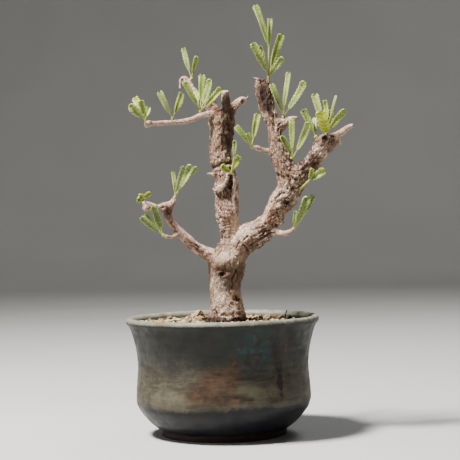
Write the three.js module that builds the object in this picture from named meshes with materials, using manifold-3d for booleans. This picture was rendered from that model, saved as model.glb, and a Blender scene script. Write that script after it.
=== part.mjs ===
// A young Senna meridionalis, trained as a small tree, in a round glazed stoneware pot.
// Millimetres, +Z up. Lengths are laid out from the pot's axis and foot; the finished group is then
// moved so that the origin is under the middle of the whole object, at the foot.
import * as THREE from "three";
import { mergeVertices } from "three/addons/utils/BufferGeometryUtils.js";
import Module from "manifold-3d";

const wasm = await Module();
wasm.setup();

// Driving dimensions of the pot
const rimRadius = 60;
const potHeight = 73;
const footRadius = 39;
const footRingWidth = 4.5;
const footRecess = 3;
const floorTop = 7;
const drainRadius = 7;
const potSides = 40;

// Soil and drain mesh
const soilLevel = 68.4;
const soilRadius = 53.6;
const grain = 6.4;
const grainRelief = 2;
const heap = { x: -15, y: 11, height: 5.5, spread: 30 };
const clearance = 0.4;
const meshSide = 28;
const meshThickness = 0.9;
const meshCells = 4;
const meshBar = 1.4;

// Tree
const rootRadius = 12.1;
const rootFoot = 44;
const trunkX = 3;
const ringStep = 6.2;
const barkRelief = 0.04;

// Leaves
const bladeThickness = 0.7;
const stalkRadius = 0.5;
const budRadius = 1.1;
const budRootRadius = 0.65;
const rootDepth = 1.8;
const socketReach = 5;
const lobeLength = 4.4;
const notchDepth = 0.24;
const leafTurn = 0.45;

const vec = (p) => new THREE.Vector3(...p);

// A repeatable number from -1 to 1 for a whole-number key.
function scatter(key) {
  const wave = Math.sin(key * 127.1 + 311.7) * 43758.5453;
  return 2 * (wave - Math.floor(wave)) - 1;
}

// A closed indexed surface from its points and triangles.
function surface(positions, triangles) {
  const geometry = new THREE.BufferGeometry();
  geometry.setAttribute("position", new THREE.Float32BufferAttribute(positions.flat(), 3));
  geometry.setIndex(triangles.flat());
  return geometry;
}

// A three.js geometry as a solid that can be joined and cut.
function solid(geometry) {
  const bare = geometry.clone();
  bare.deleteAttribute("normal");
  bare.deleteAttribute("uv");
  const merged = mergeVertices(bare, 1e-4);
  const mesh = new wasm.Mesh({
    numProp: 3,
    vertProperties: new Float32Array(merged.attributes.position.array),
    triVerts: new Uint32Array(merged.index.array),
  });
  mesh.merge();
  return new wasm.Manifold(mesh);
}

// A solid's surface as a three.js geometry.
function geometryOf(shape) {
  const mesh = shape.getMesh();
  const geometry = new THREE.BufferGeometry();
  geometry.setAttribute("position", new THREE.BufferAttribute(new Float32Array(mesh.vertProperties), 3));
  geometry.setIndex(new THREE.BufferAttribute(new Uint32Array(mesh.triVerts), 1));
  geometry.computeVertexNormals();
  return geometry;
}

const joined = (shapes) => shapes.reduce((whole, shape) => whole.add(shape));

function named(name, geometry, color, roughness, metalness = 0) {
  const material = new THREE.MeshStandardMaterial({ color, roughness, metalness });
  const mesh = new THREE.Mesh(geometry, material);
  mesh.name = name;
  return mesh;
}

// A limb: rings swept along points [x, y, z, radius], closed with a cap at each end.
// relief is the bark's unevenness as a share of the radius, dome how far the caps stand out.
function limb(points, { sides = 12, step = ringStep, relief = barkRelief, dome = 0.25, seed = 1 } = {}) {
  const curve = new THREE.CatmullRomCurve3(points.map(([x, y, z]) => vec([x, y, z])), false, "centripetal");
  const spans = points.length - 1;
  const rings = Math.max(1, Math.round(curve.getLength() / step));
  const side = new THREE.Vector3();
  const across = new THREE.Vector3();
  const tangent = new THREE.Vector3();
  const positions = [];
  side.set(1, 0.2, 0.1);
  for (let i = 0; i <= rings; i++) {
    const t = i / rings;
    const k = Math.min(spans - 1, Math.floor(t * spans));
    const radius = THREE.MathUtils.lerp(points[k][3], points[k + 1][3], t * spans - k);
    const centre = curve.getPoint(t);
    curve.getTangent(t, tangent);
    side.addScaledVector(tangent, -side.dot(tangent)).normalize();
    across.crossVectors(tangent, side);
    for (let j = 0; j < sides; j++) {
      const angle = (2 * Math.PI * j) / sides;
      const ridges = Math.sin(3 * angle + seed + t * 2) + 0.7 * scatter(seed * 1000 + i * sides + j);
      const r = radius * (1 + relief * ridges);
      const point = centre.clone();
      point.addScaledVector(side, r * Math.cos(angle));
      point.addScaledVector(across, r * Math.sin(angle));
      positions.push(point.toArray());
    }
  }
  const triangles = [];
  for (let i = 0; i < rings; i++) {
    for (let j = 0; j < sides; j++) {
      const a = i * sides + j;
      const b = i * sides + ((j + 1) % sides);
      triangles.push([a, b, b + sides], [a, b + sides, a + sides]);
    }
  }
  const startCap = curve.getPoint(0).addScaledVector(curve.getTangent(0), -dome * points[0][3]);
  const endCap = curve.getPoint(1).addScaledVector(curve.getTangent(1), dome * points[spans][3]);
  const first = positions.length;
  positions.push(startCap.toArray(), endCap.toArray());
  for (let j = 0; j < sides; j++) {
    const next = (j + 1) % sides;
    triangles.push([first, next, j], [first + 1, rings * sides + j, rings * sides + next]);
  }
  return surface(positions, triangles);
}

// A straight plain rod or cone between two points.
const rod = (from, to, r0, r1, sides) =>
  limb([[...from, r0], [...to, r1]], { sides, step: Infinity, relief: 0, dome: 0 });

// Outer radius of the pot at the heights where its curve changes, from the foot up.
const potOutside = [
  [footRadius, 0], [footRadius, 4], [41.8, 5], [46.5, 9], [51.2, 14.2], [53.7, 18.4], [54.4, 23], [53.8, 33],
  [53.1, 43], [53.9, 51.5], [55.6, 59.4], [58.2, 67.4], [59.8, 69.6], [rimRadius, 71.4], [57.9, potHeight],
];

// Inner radius, from the lip down to the floor.
const potInside = [
  [55.8, 72.2], [54.4, 68.8], [50.8, 59], [48.8, 47], [49.6, 26], [47.6, 15.4], [42, 9.4], [33, floorTop],
];

function potSolid() {
  const underside = [
    [drainRadius, floorTop],
    [drainRadius, footRecess + 0.6],
    [footRadius - footRingWidth - 1, footRecess],
    [footRadius - footRingWidth, 0],
  ];
  const profile = [...potOutside, ...potInside, ...underside, potOutside[0]];
  const geometry = new THREE.LatheGeometry(profile.map(([r, z]) => new THREE.Vector2(r, z)), potSides);
  geometry.rotateX(Math.PI / 2);
  return solid(geometry);
}

// The lattice over the drain hole: a square plate with square holes.
function drainMeshSolid() {
  const pitch = (meshSide - meshBar) / meshCells;
  const height = floorTop + clearance + meshThickness / 2;
  const place = (i) => (i + 0.5 - meshCells / 2) * pitch;
  let lattice = solid(new THREE.BoxGeometry(meshSide, meshSide, meshThickness).translate(0, 0, height));
  for (let i = 0; i < meshCells; i++) {
    for (let j = 0; j < meshCells; j++) {
      const hole = new THREE.BoxGeometry(pitch - meshBar, pitch - meshBar, 3 * meshThickness);
      lattice = lattice.subtract(solid(hole.translate(place(i), place(j), height)));
    }
  }
  return lattice;
}

// The soil's top as a slab: a hexagonal lattice of grains, each raised at its middle and low at its
// corners, with a heap left of the trunk.
function grainSlab() {
  const rows = 12;
  const positions = [];
  const triangles = [];
  const corners = new Map();
  const heaped = (x, y) => heap.height * Math.exp(-((x - heap.x) ** 2 + (y - heap.y) ** 2) / heap.spread);
  const addPoint = (x, y, z) => positions.push([x, y, z + heaped(x, y)]) - 1;
  for (let row = -rows; row <= rows; row++) {
    for (let column = -rows; column <= rows; column++) {
      const key = row * 100 + column;
      const x = (column + row / 2) * grain;
      const y = row * grain * Math.sqrt(0.75);
      const offX = 0.15 * grain * scatter(key + 5000);
      const offY = 0.15 * grain * scatter(key + 9000);
      const centre = addPoint(x + offX, y + offY, soilLevel + grainRelief * (0.5 + 0.25 * scatter(key)));
      const around = [];
      for (let k = 0; k < 6; k++) {
        const angle = (Math.PI / 3) * (k + 0.5);
        const cx = x + (grain / Math.sqrt(3)) * Math.cos(angle);
        const cy = y + (grain / Math.sqrt(3)) * Math.sin(angle);
        const name = `${Math.round(cx * 10)},${Math.round(cy * 10)}`;
        if (!corners.has(name)) corners.set(name, addPoint(cx, cy, soilLevel - grainRelief / 2));
        around.push(corners.get(name));
      }
      around.forEach((corner, k) => triangles.push([centre, corner, around[(k + 1) % 6]]));
    }
  }
  return closedBelow(positions, triangles, 0);
}

// A solid between a surface seen from above and a flat copy of it at one height.
function closedBelow(positions, triangles, height) {
  const count = positions.length;
  const edges = new Set(triangles.flatMap(([a, b, c]) => [`${a},${b}`, `${b},${c}`, `${c},${a}`]));
  const all = triangles.flatMap(([a, b, c]) => [[a, b, c], [a + count, c + count, b + count]]);
  for (const edge of edges) {
    const [a, b] = edge.split(",").map(Number);
    if (!edges.has(`${b},${a}`)) all.push([b, a, a + count], [b, a + count, b + count]);
  }
  return surface([...positions, ...positions.map(([x, y]) => [x, y, height])], all);
}

function soilSolid() {
  const meshPocket = meshSide * Math.SQRT1_2 + clearance;
  const top = potHeight + 4;
  const curve = 20;
  const profile = [[0, top], [soilRadius, top], [soilRadius, soilLevel - 0.6]];
  profile.push(...potInside.slice(2, -1).map(([r, z]) => [r - clearance, z < curve ? z + clearance : z]));
  profile.push([33, floorTop + clearance], [meshPocket, floorTop + clearance]);
  profile.push([meshPocket, floorTop + 2 * clearance + meshThickness]);
  profile.push([0, floorTop + 2 * clearance + meshThickness]);
  const body = new THREE.LatheGeometry(profile.reverse().map(([r, z]) => new THREE.Vector2(r, z)), potSides);
  body.rotateX(Math.PI / 2);
  const holeRadius = rootRadius + clearance;
  const rootHole = rod([trunkX, 0, rootFoot - 4], [trunkX, 0, 90], holeRadius, holeRadius, 20);
  return solid(body).intersect(solid(grainSlab())).subtract(solid(rootHole));
}

// Thick limbs, each a line of [x, y, z, radius].
const thickLimbs = {
  trunk: [
    [3.2, 0, 71.4, 12.3], [3, 0, 76.4, 10.8], [2.5, 0, 82.6, 9.9], [1.9, 0, 88.8, 9.8], [2.4, 0, 95, 10.5],
    [3.3, 0, 101, 11.5], [3.8, 0, 106.5, 11.4], [5, 0, 112.5, 9.4], [5.8, 0, 118, 7],
  ],
  upright: [
    [4.5, 0, 108, 8.5], [5.3, 0, 113.5, 7.7], [5.9, 0, 119.7, 6.4], [5.6, 0, 125.9, 6.5],
    [5.2, 0, 129.6, 6.9], [4.1, 0, 135.2, 7.6], [4.2, 0.5, 142.7, 7.6], [4, 1, 150, 7.7],
    [4.1, 2, 154.5, 7.1], [3.3, 2, 160.1, 7.1], [1.8, 3, 165.8, 7], [1.2, 3, 170.1, 6.8],
    [0.8, 4, 175.8, 7.2], [1.7, 4, 182, 7.3], [2.1, 5, 188.3, 8], [2, 5, 193.9, 8.7],
    [1.9, 5, 198.5, 8.2],
  ],
  rightLimb: [
    [4, 0, 106, 8.5], [11, -2, 115, 8.2], [18.1, -4, 121.4, 8], [24.9, -6, 126, 7.4],
    [30, -9, 131.6, 6.3], [33, -10, 136.4, 6.5], [36.1, -11, 140.6, 7.4], [39.2, -12, 144.8, 8.1],
    [42, -13, 149.6, 8.3], [43.6, -14, 154.5, 8.3], [44.2, -14, 158.7, 7.6],
  ],
  middleBranch: [
    [43, -14, 154, 7.6], [40.5, -13, 163.1, 6.8], [38.5, -12, 168.1, 6.3], [37.4, -11, 171.8, 6.1],
    [35.7, -10, 177.4, 5.5], [34.5, -8, 183.7, 4.6], [34.2, -7, 188, 4.5], [32.8, -6, 193.7, 4.9],
    [30.5, -4, 199.4, 5.3], [29.3, -3, 204.4, 5.5], [28.4, -2, 209.5, 5.4], [28, -1, 214.5, 5],
    [28, -1, 217.6, 4.6],
  ],
  rightBranch: [
    [45, -14, 154, 7.6], [51.6, -15, 161, 6.5], [56.6, -17, 165.9, 5.4], [58.9, -18, 169.2, 5.5],
    [61, -19, 172.1, 5.7], [63.1, -20, 175.4, 6.1], [64.9, -21, 178.3, 6.1], [65.6, -21, 181, 4.8],
  ],
};

// Thin limbs, stubs and twigs.
const thinLimbs = {
  leftBranch: [
    [2, 0, 105, 8], [-5.6, -2, 110.1, 5.4], [-12.9, -4, 114, 3.8], [-18.9, -7, 118.8, 3.5],
    [-24.8, -9, 125, 3.1], [-28.4, -10, 129.1, 2.7], [-31, -11, 134.1, 2.5], [-31.8, -11, 137.6, 2.6],
  ],
  leftUpperStub: [[-31.9, -11, 135.9, 2.5], [-30.5, -11, 141.4, 2.2], [-27.7, -10, 145, 2.1]],
  leftEndTwig: [
    [-31.8, -11, 137.1, 2.4], [-34.8, -12, 139.9, 2.1], [-39.6, -14, 140.9, 2], [-43.1, -15, 141.9, 2.4],
    [-45.8, -16, 142.2, 1.9],
  ],
  leftLowTwig: [
    [-25, -9, 124.9, 1.9], [-27.8, -12, 123, 1.4], [-30.8, -14, 122.2, 1.3], [-33.5, -15, 123.1, 1.6],
  ],
  frontStub: [[3.6, 4, 192, 6], [5.2, 1, 199.1, 3.9], [5, -1, 205.7, 3.2], [4.5, -2, 211.6, 2.6]],
  rightStub: [[5, 5, 196, 5], [9.9, 7, 203.2, 3], [14.1, 8, 207.3, 2.4], [17.3, 9, 209.6, 2]],
  backStub: [[0, 7, 195, 6], [-5, 9.5, 204.5, 4]],
  longTwig: [
    [2.4, 2, 198.5, 3.6], [-1.9, 0, 198.7, 2.5], [-6.9, -1, 197.9, 1.9], [-11.2, -2, 196.7, 1.9],
    [-15.6, -3, 194.7, 1.9], [-20.5, -5, 193.3, 1.8], [-28.4, -7, 192.8, 1.7], [-35.7, -9, 192.2, 1.7],
    [-41.7, -11, 191.8, 1.7], [-44.7, -12, 190.6, 1.7],
  ],
  hookedTwig: [
    [-3.5, 9.5, 202, 2.8], [-9.4, 12, 208.4, 2], [-14.2, 14, 214.8, 1.9], [-17.8, 15, 219.6, 1.9],
    [-20.9, 16, 222.2, 1.8], [-23, 16, 220.6, 1.4], [-23.3, 16, 218, 1],
  ],
  rightLowTwig: [
    [31, -8, 129.5, 3.2], [35.2, -12, 125.1, 1.8], [39.3, -14, 123.5, 1.6], [43.5, -16, 124.9, 1.6],
  ],
  middleTwig: [
    [36.4, -10.5, 172, 3], [31.2, -13, 172.9, 1.8], [26.3, -15, 174.3, 1.6], [21.7, -17, 176, 1.6],
  ],
  middleKnob: [[35.5, -7, 187, 3.8], [40.7, -9, 191, 3.6]],
  middleHook: [[41, -9, 189.8, 2.6], [43.9, -11, 193, 1.7], [48.5, -13, 193.7, 1.2]],
  middleSpur: [[29.6, -2, 212.5, 2.8], [31.4, -3, 218, 1.5]],
  middleTendril: [[27.5, 0, 214.9, 1.5], [25.1, 1, 219, 0.9], [21.6, 2, 220.6, 0.6]],
  endStub: [
    [65, -20.5, 178.5, 4], [71.6, -22, 181.9, 2.5], [75.2, -23, 184, 2.2], [78.1, -24, 186.2, 1.8],
    [81.1, -25, 187.5, 1.3],
  ],
  endLobe: [[67, -20, 177.8, 4.2], [73.4, -19, 178.7, 2.7]],
  leftRidge: [[-3.4, -3, 150, 1.7], [0.5, -5.2, 153.8, 1.9], [4.6, -5, 158, 1.7]],
  rightRidge: [[8.8, -2, 159, 1.7], [10, -3, 151.5, 1.8], [8.8, -4.5, 145, 1.6]],
  splinter: [[-2, 0, 160.4, 1.1], [-8.6, -1, 161.2, 0.6]],
};

// Knobs and root swellings: [x, y, z, radius] and a stretch along x, y, z.
const lumps = [
  [[16.5, -4.5, 124.4, 6], [1, 1, 1]],
  [[46, -13, 157.5, 7], [1, 1, 1]],
  [[-3, -4, 73, 5], [1, 1, 2.2]],
  [[6, -6.5, 72.5, 5], [1, 1, 2]],
  [[10.2, 1, 72.5, 5], [1, 1, 2.3]],
  [[4, 6.8, 73, 5], [1, 1, 2.1]],
];

// Hollows: a cone from its mouth [x, y, z] to its depth, with the mouth's radius.
const hollows = [
  { mouth: [0.2, -14, 99.6], end: [1.6, -6.5, 99], radius: 3.2 },
  { mouth: [26.9, -4.5, 219.5], end: [29, -1.5, 206], radius: 3.4 },
  { mouth: [63.6, -30, 182], end: [65.2, -22, 178.8], radius: 4 },
  { mouth: [4.2, -10, 147.6], end: [4.4, -4, 148.2], radius: 4 },
];

function barkSolid() {
  const pieces = [];
  const root = limb(
    [[trunkX, 0, rootFoot, 8], [trunkX, 0, 52, 11], [trunkX, 0, 60, rootRadius], [trunkX, 0, 72, rootRadius]],
    { sides: 20, step: 9, relief: 0, dome: 0.2 },
  );
  pieces.push(solid(root));
  Object.values(thickLimbs).forEach((line, i) => {
    pieces.push(solid(limb(line, { sides: 10, dome: 0.12, seed: i + 1 })));
  });
  Object.values(thinLimbs).forEach((line, i) => {
    const girth = Math.max(...line.map((p) => p[3]));
    pieces.push(solid(limb(line, { sides: girth > 3 ? 7 : 5, dome: 0.3, relief: 0.03, seed: 20 + i })));
  });
  for (const [[x, y, z, radius], stretch] of lumps) {
    pieces.push(solid(new THREE.IcosahedronGeometry(radius, 1).scale(...stretch).translate(x, y, z)));
  }
  let bark = joined(pieces);
  for (const { mouth, end, radius } of hollows) {
    bark = bark.subtract(solid(rod(mouth, end, radius, 0.5, 8)));
  }
  return bark;
}

// Leafy sprays. heart is a point inside the limb that bears the spray and facing the way out of it.
// stems are forks of the stalk; each leaf has its tip, its width, the point its own stalk starts from
// (the bud where none is given), the share of its length that is bare stalk and its bow.
const sprays = [
  {
    heart: [30.9, -2.7, 216.3], facing: [0.25, -0.1, 1],
    stems: [[32.2, -4, 237.6]],
    leaves: [
      { tip: [21.7, -8, 240.3], width: 5.2, bare: 0.28, bow: 0.08 },
      { tip: [26.6, -6.5, 239], width: 3.4, bare: 0.66, bow: 0.02 },
      { tip: [24.1, -2, 264.5], width: 4.2, from: 0, bare: 0.12, bow: 0.06 },
      { tip: [33.1, -7, 255.6], width: 3.2, from: 0, bare: 0.12, bow: 0.05 },
      { tip: [40.3, 2, 246.8], width: 4.8, bare: 0.34, bow: -0.05 },
      { tip: [40.8, -8, 231.6], width: 4, bare: 0.25, bow: -0.08 },
    ],
  },
  {
    heart: [-44, -11.8, 190.9], facing: [-0.1, 0, 1],
    stems: [],
    leaves: [
      { tip: [-53, -17, 204.5], width: 6.6, bare: 0.22, bow: 0.1 },
      { tip: [-50, -8, 208.4], width: 6.2, bare: 0.25, bow: 0.05 },
      { tip: [-45.6, -15, 205.8], width: 5, bare: 0.3, bow: 0.03 },
      { tip: [-42.4, -8.5, 202.6], width: 4, bare: 0.3, bow: -0.06 },
    ],
  },
  {
    heart: [-28.2, -7, 192.9], facing: [0.05, 0, 1],
    stems: [],
    leaves: [
      { tip: [-35.8, -10, 211.9], width: 4, bare: 0.25, bow: 0.05 },
      { tip: [-22, -3, 211], width: 4.4, bare: 0.28, bow: 0.08 },
    ],
  },
  {
    heart: [-10.6, -1.8, 197], facing: [-0.15, 0.15, 1],
    stems: [],
    leaves: [
      { tip: [-20.8, -5, 217.9], width: 4.8, bare: 0.3, bow: 0.05 },
      { tip: [-14.2, 5, 213.8], width: 3.4, bare: 0.35, bow: 0.05 },
      { tip: [-9.6, 7, 223.4], width: 4.6, bare: 0.35, bow: 0.03 },
      { tip: [-4.2, -1, 219.6], width: 4.4, bare: 0.35, bow: -0.06 },
      { tip: [1.2, -6.5, 211.8], width: 4.2, bare: 0.3, bow: -0.1 },
    ],
  },
  {
    heart: [-17.6, 15, 219.3], facing: [0.45, 0, 0.9],
    stems: [],
    leaves: [
      { tip: [-21, 18, 241.4], width: 4, bare: 0.35, bow: 0.04 },
      { tip: [-12.6, 11, 235.4], width: 4, bare: 0.35, bow: -0.06 },
    ],
  },
  {
    heart: [4, 1.5, 160], facing: [0.5, -1, 0.15],
    stems: [[9.3, -8.2, 170]],
    leaves: [
      { tip: [10, -8.5, 181], width: 2.6, from: 0, bare: 0.12, bow: 0.03 },
      { tip: [12.6, -5, 171.8], width: 4, bare: 0.3, bow: -0.05 },
      { tip: [1.5, -10.5, 165.4], width: 4, bare: 0.25, bow: -0.08 },
    ],
  },
  {
    heart: [22.6, -16.7, 175.7], facing: [-0.9, -0.1, 0.2],
    stems: [],
    leaves: [
      { tip: [10.5, -20, 188.8], width: 4, bare: 0.28, bow: 0.08 },
      { tip: [24.2, -13, 196.4], width: 4.2, bare: 0.35, bow: 0.05 },
      { tip: [17.6, -21.5, 184.6], width: 3, bare: 0.4, bow: 0.03 },
    ],
  },
  {
    heart: [40, -8, 190.8], facing: [0, 0.15, 1],
    stems: [],
    leaves: [
      { tip: [32.7, -12, 214.8], width: 3.6, bare: 0.25, bow: 0.06 },
      { tip: [44.2, -5, 222.4], width: 3.4, bare: 0.3, bow: 0.03 },
      { tip: [53.8, -13, 216], width: 4.8, bare: 0.3, bow: -0.05 },
    ],
  },
  {
    heart: [38.5, -12, 168], facing: [1, -0.6, 0.15],
    stems: [],
    leaves: [
      { tip: [37.6, -22, 182.3], width: 4, bare: 0.25, bow: 0.05 },
      { tip: [44.9, -17.5, 192.9], width: 3.6, bare: 0.3, bow: 0.03 },
      { tip: [54.8, -27, 189.8], width: 4.6, bare: 0.3, bow: -0.06 },
    ],
  },
  {
    heart: [61.5, -20, 178], facing: [-0.6, 0.1, 0.8],
    stems: [],
    leaves: [
      { tip: [51.8, -19, 197.7], width: 5.4, bare: 0.3, bow: 0.05 },
      { tip: [58, -15, 193.2], width: 3.6, bare: 0.3, bow: 0.03 },
    ],
  },
  {
    heart: [65.3, -20.5, 179.5], facing: [0.05, 0.15, 1],
    stems: [],
    leaves: [
      { tip: [60.9, -27, 197], width: 8.6, bare: 0.15, bow: 0.16 },
      { tip: [58.8, -18, 207.6], width: 5.2, bare: 0.45, bow: 0.05 },
      { tip: [77, -22.5, 197.2], width: 4.4, bare: 0.25, bow: -0.08 },
      { tip: [68.8, -14.5, 197.5], width: 4, bare: 0.25, bow: 0.03 },
      { tip: [65.8, -11.5, 205], width: 3.4, bare: 0.5, bow: -0.06 },
      { tip: [72, -17, 206.3], width: 2.4, bare: 0.5, bow: 0.03 },
    ],
  },
  {
    heart: [44, -14, 150.6], facing: [0.8, -0.75, 0],
    stems: [[54.2, -25.6, 155]],
    leaves: [
      { tip: [64, -27, 161.2], width: 4.8, from: 0, bare: 0.12, bow: -0.06 },
      { tip: [55.8, -26.5, 162.4], width: 3.2, from: 0, bare: 0.15, bow: 0.03 },
    ],
  },
  {
    heart: [42.8, -15.7, 124.6], facing: [0.75, -0.1, 0.6],
    stems: [[49.8, -17.5, 132.4]],
    leaves: [
      { tip: [52.3, -20, 146.4], width: 4.2, from: 0, bare: 0.1, bow: 0.05 },
      { tip: [57.2, -14, 145.8], width: 3.6, from: 0, bare: 0.12, bow: -0.05 },
      { tip: [46, -19.5, 136.9], width: 2.6, bare: 0.3, bow: 0.04 },
    ],
  },
  {
    heart: [-28.2, -10.2, 144.2], facing: [0.3, 0, 1],
    stems: [],
    leaves: [
      { tip: [-28.4, -7, 162.6], width: 2.6, bare: 0.3, bow: 0.04 },
      { tip: [-22.8, -14, 165.2], width: 4.4, bare: 0.25, bow: 0.03 },
      { tip: [-18.2, -11, 166.4], width: 4.4, bare: 0.4, bow: -0.04 },
      { tip: [-14, -7, 165.4], width: 4.2, bare: 0.45, bow: -0.08 },
    ],
  },
  {
    heart: [-45.3, -15.8, 142.1], facing: [-0.5, 0, 0.9],
    stems: [],
    leaves: [
      { tip: [-47.4, -18.5, 149.2], width: 3.6, bare: 0.2, bow: 0.06 },
      { tip: [-42, -13.5, 149.6], width: 3.4, bare: 0.25, bow: -0.08 },
      { tip: [-50.6, -19.5, 145.4], width: 4, bare: 0.2, bow: 0.08 },
    ],
  },
  {
    heart: [-32.8, -14.8, 122.8], facing: [-0.9, 0, 0.4],
    stems: [],
    leaves: [
      { tip: [-48, -20.5, 135.3], width: 4.8, bare: 0.3, bow: 0.06 },
      { tip: [-38.6, -5.5, 141.6], width: 6.4, bare: 0.35, bow: 0.05 },
      { tip: [-42.8, -14, 136.8], width: 3.6, bare: 0.3, bow: 0.03 },
    ],
  },
];

// Half-width of a leaf's blade, as a share of its full half-width, from the blade's start to its tip.
const leafOutline = (t) => 0.34 + 0.66 * Math.sin((Math.min(1, 1.45 * t) * Math.PI) / 2) - 0.3 * t ** 6;

// One leaf: a bare stalk that widens into a thin arched strap, cut into a row of lobes on each side.
function leaf(from, tip, { width, bare, bow }, turn) {
  const length = from.distanceTo(tip);
  const along = tip.clone().sub(from).normalize();
  const face = new THREE.Vector3(0, -1, 0).addScaledVector(along, along.y).normalize();
  face.applyAxisAngle(along, turn);
  const across = new THREE.Vector3().crossVectors(along, face);
  const middle = from.clone().lerp(tip, 0.5).addScaledVector(face, 2 * bow * length);
  const rib = new THREE.QuadraticBezierCurve3(from, middle, tip);
  const lobes = Math.max(3, Math.min(4, Math.round((length * (1 - bare)) / lobeLength)));
  const stations = [[0, stalkRadius, stalkRadius], [bare, stalkRadius * 0.8, bladeThickness / 2]];
  const addStation = (t, share) => {
    stations.push([bare + (1 - bare) * t, (width / 2) * leafOutline(t) * share, bladeThickness / 2]);
  };
  for (let k = 0; k < lobes; k++) {
    addStation((k + 0.72) / lobes, 1);
    if (k < lobes - 1) addStation((k + 0.98) / lobes, 1 - notchDepth);
  }
  addStation(1, 0.8);
  const positions = [];
  for (const [t, half, depth] of stations) {
    const centre = rib.getPoint(t);
    const normal = new THREE.Vector3().crossVectors(across, rib.getTangent(t)).normalize();
    for (const [side, lift] of [[-1, 1], [1, 1], [1, -1], [-1, -1]]) {
      const corner = centre.clone().addScaledVector(across, side * half);
      positions.push(corner.addScaledVector(normal, lift * depth).toArray());
    }
  }
  const triangles = [[0, 2, 1], [0, 3, 2]];
  const last = 4 * (stations.length - 1);
  triangles.push([last, last + 1, last + 2], [last, last + 2, last + 3]);
  for (let a = 0; a < last; a += 4) {
    for (const [p, q] of [[0, 1], [1, 2], [2, 3], [3, 0]]) {
      triangles.push([a + p, a + q, a + q + 4], [a + p, a + q + 4, a + p + 4]);
    }
  }
  return surface(positions, triangles);
}

// Where a line out of the limb leaves its bark.
function barkPoint(barkMesh, heart, facing) {
  const reach = 14;
  const outside = heart.clone().addScaledVector(facing, reach);
  const ray = new THREE.Raycaster(outside, facing.clone().negate(), 0, reach);
  return ray.intersectObject(barkMesh)[0].point;
}

function sprayParts({ heart, facing, stems, leaves }, index, barkMesh) {
  const out = vec(facing).normalize();
  const skin = barkPoint(barkMesh, vec(heart), out);
  const bud = skin.clone().addScaledVector(out, budRadius + clearance);
  const foot = skin.clone().addScaledVector(out, -rootDepth);
  const mouth = skin.clone().addScaledVector(out, socketReach);
  const floor = foot.clone().addScaledVector(out, -clearance);
  const socketRadius = budRootRadius + clearance;
  const socket = rod(floor.toArray(), mouth.toArray(), socketRadius, socketRadius, 6);
  const pieces = [solid(rod(foot.toArray(), bud.toArray(), budRootRadius, budRootRadius, 6))];
  pieces.push(solid(new THREE.IcosahedronGeometry(budRadius, 0).translate(...bud.toArray())));
  for (const fork of stems) {
    pieces.push(solid(rod(bud.toArray(), fork, stalkRadius * 1.25, stalkRadius * 1.1, 5)));
    pieces.push(solid(new THREE.IcosahedronGeometry(stalkRadius * 1.4, 0).translate(...fork)));
  }
  leaves.forEach((shape, i) => {
    const start = shape.from === undefined ? bud : vec(stems[shape.from]);
    pieces.push(solid(leaf(start, vec(shape.tip), shape, leafTurn * scatter(index * 40 + i))));
  });
  return { green: joined(pieces), socket: solid(socket) };
}

const leafColors = [0x8fa765, 0x9ab06f, 0x86a05a];

function tree() {
  let bark = barkSolid();
  const barkMesh = new THREE.Mesh(geometryOf(bark));
  const group = new THREE.Group();
  sprays.forEach((spray, index) => {
    const { green, socket } = sprayParts(spray, index, barkMesh);
    bark = bark.subtract(socket);
    const name = `spray_${String(index + 1).padStart(2, "0")}`;
    group.add(named(name, geometryOf(green), leafColors[index % leafColors.length], 0.55));
  });
  const whole = bark.decompose().sort((a, b) => b.volume() - a.volume())[0];
  group.add(named("trunk", geometryOf(whole), 0x8a7468, 0.85));
  return group;
}

const plant = new THREE.Group();
plant.add(named("pot", geometryOf(potSolid()), 0x4d5552, 0.35));
plant.add(named("drain_mesh", geometryOf(drainMeshSolid()), 0x20221f, 0.6));
plant.add(named("soil", geometryOf(soilSolid()), 0x8a6b4a, 0.95));
plant.add(tree());

const middle = new THREE.Box3().setFromObject(plant, true).getCenter(new THREE.Vector3());
plant.position.set(-middle.x, -middle.y, 0);

const group = new THREE.Group();
group.add(plant);
export default group;
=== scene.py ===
# %% [markdown]
# # A young tree in a glazed pot
#
# This lesson dresses a potted Senna meridionalis: a small tree with a thick forked trunk and flaky
# bark, growing in coarse granules in a round stoneware pot. Its plain solids are already there, at
# their real size. Each chapter puts a finely worked piece in the place of one of them and gives it its
# finish: first the pot, then the soil, the bark and the leaves.

import bpy
import numpy as np
from mathutils import Matrix, Vector


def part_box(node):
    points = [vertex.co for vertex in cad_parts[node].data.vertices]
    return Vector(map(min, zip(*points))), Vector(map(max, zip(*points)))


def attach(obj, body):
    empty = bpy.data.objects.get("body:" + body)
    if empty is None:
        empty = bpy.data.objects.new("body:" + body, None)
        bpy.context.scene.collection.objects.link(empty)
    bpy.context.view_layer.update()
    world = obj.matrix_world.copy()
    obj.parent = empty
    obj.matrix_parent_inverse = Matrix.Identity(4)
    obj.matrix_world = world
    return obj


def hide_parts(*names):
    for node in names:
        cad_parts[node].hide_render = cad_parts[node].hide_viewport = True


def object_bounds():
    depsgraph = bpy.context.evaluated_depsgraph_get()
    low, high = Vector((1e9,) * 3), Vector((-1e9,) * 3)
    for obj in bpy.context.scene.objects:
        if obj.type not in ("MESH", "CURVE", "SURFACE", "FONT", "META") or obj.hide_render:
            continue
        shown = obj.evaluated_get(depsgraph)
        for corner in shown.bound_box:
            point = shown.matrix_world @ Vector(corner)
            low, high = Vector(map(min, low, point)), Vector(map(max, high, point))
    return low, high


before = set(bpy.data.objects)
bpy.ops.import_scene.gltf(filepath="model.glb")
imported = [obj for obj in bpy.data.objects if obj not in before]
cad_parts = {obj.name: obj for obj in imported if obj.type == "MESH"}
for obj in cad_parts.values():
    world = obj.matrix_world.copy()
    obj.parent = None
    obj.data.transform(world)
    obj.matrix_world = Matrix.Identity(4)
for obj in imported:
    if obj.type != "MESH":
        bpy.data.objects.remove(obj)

cad_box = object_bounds()
print("solids:", len(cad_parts))

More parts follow.
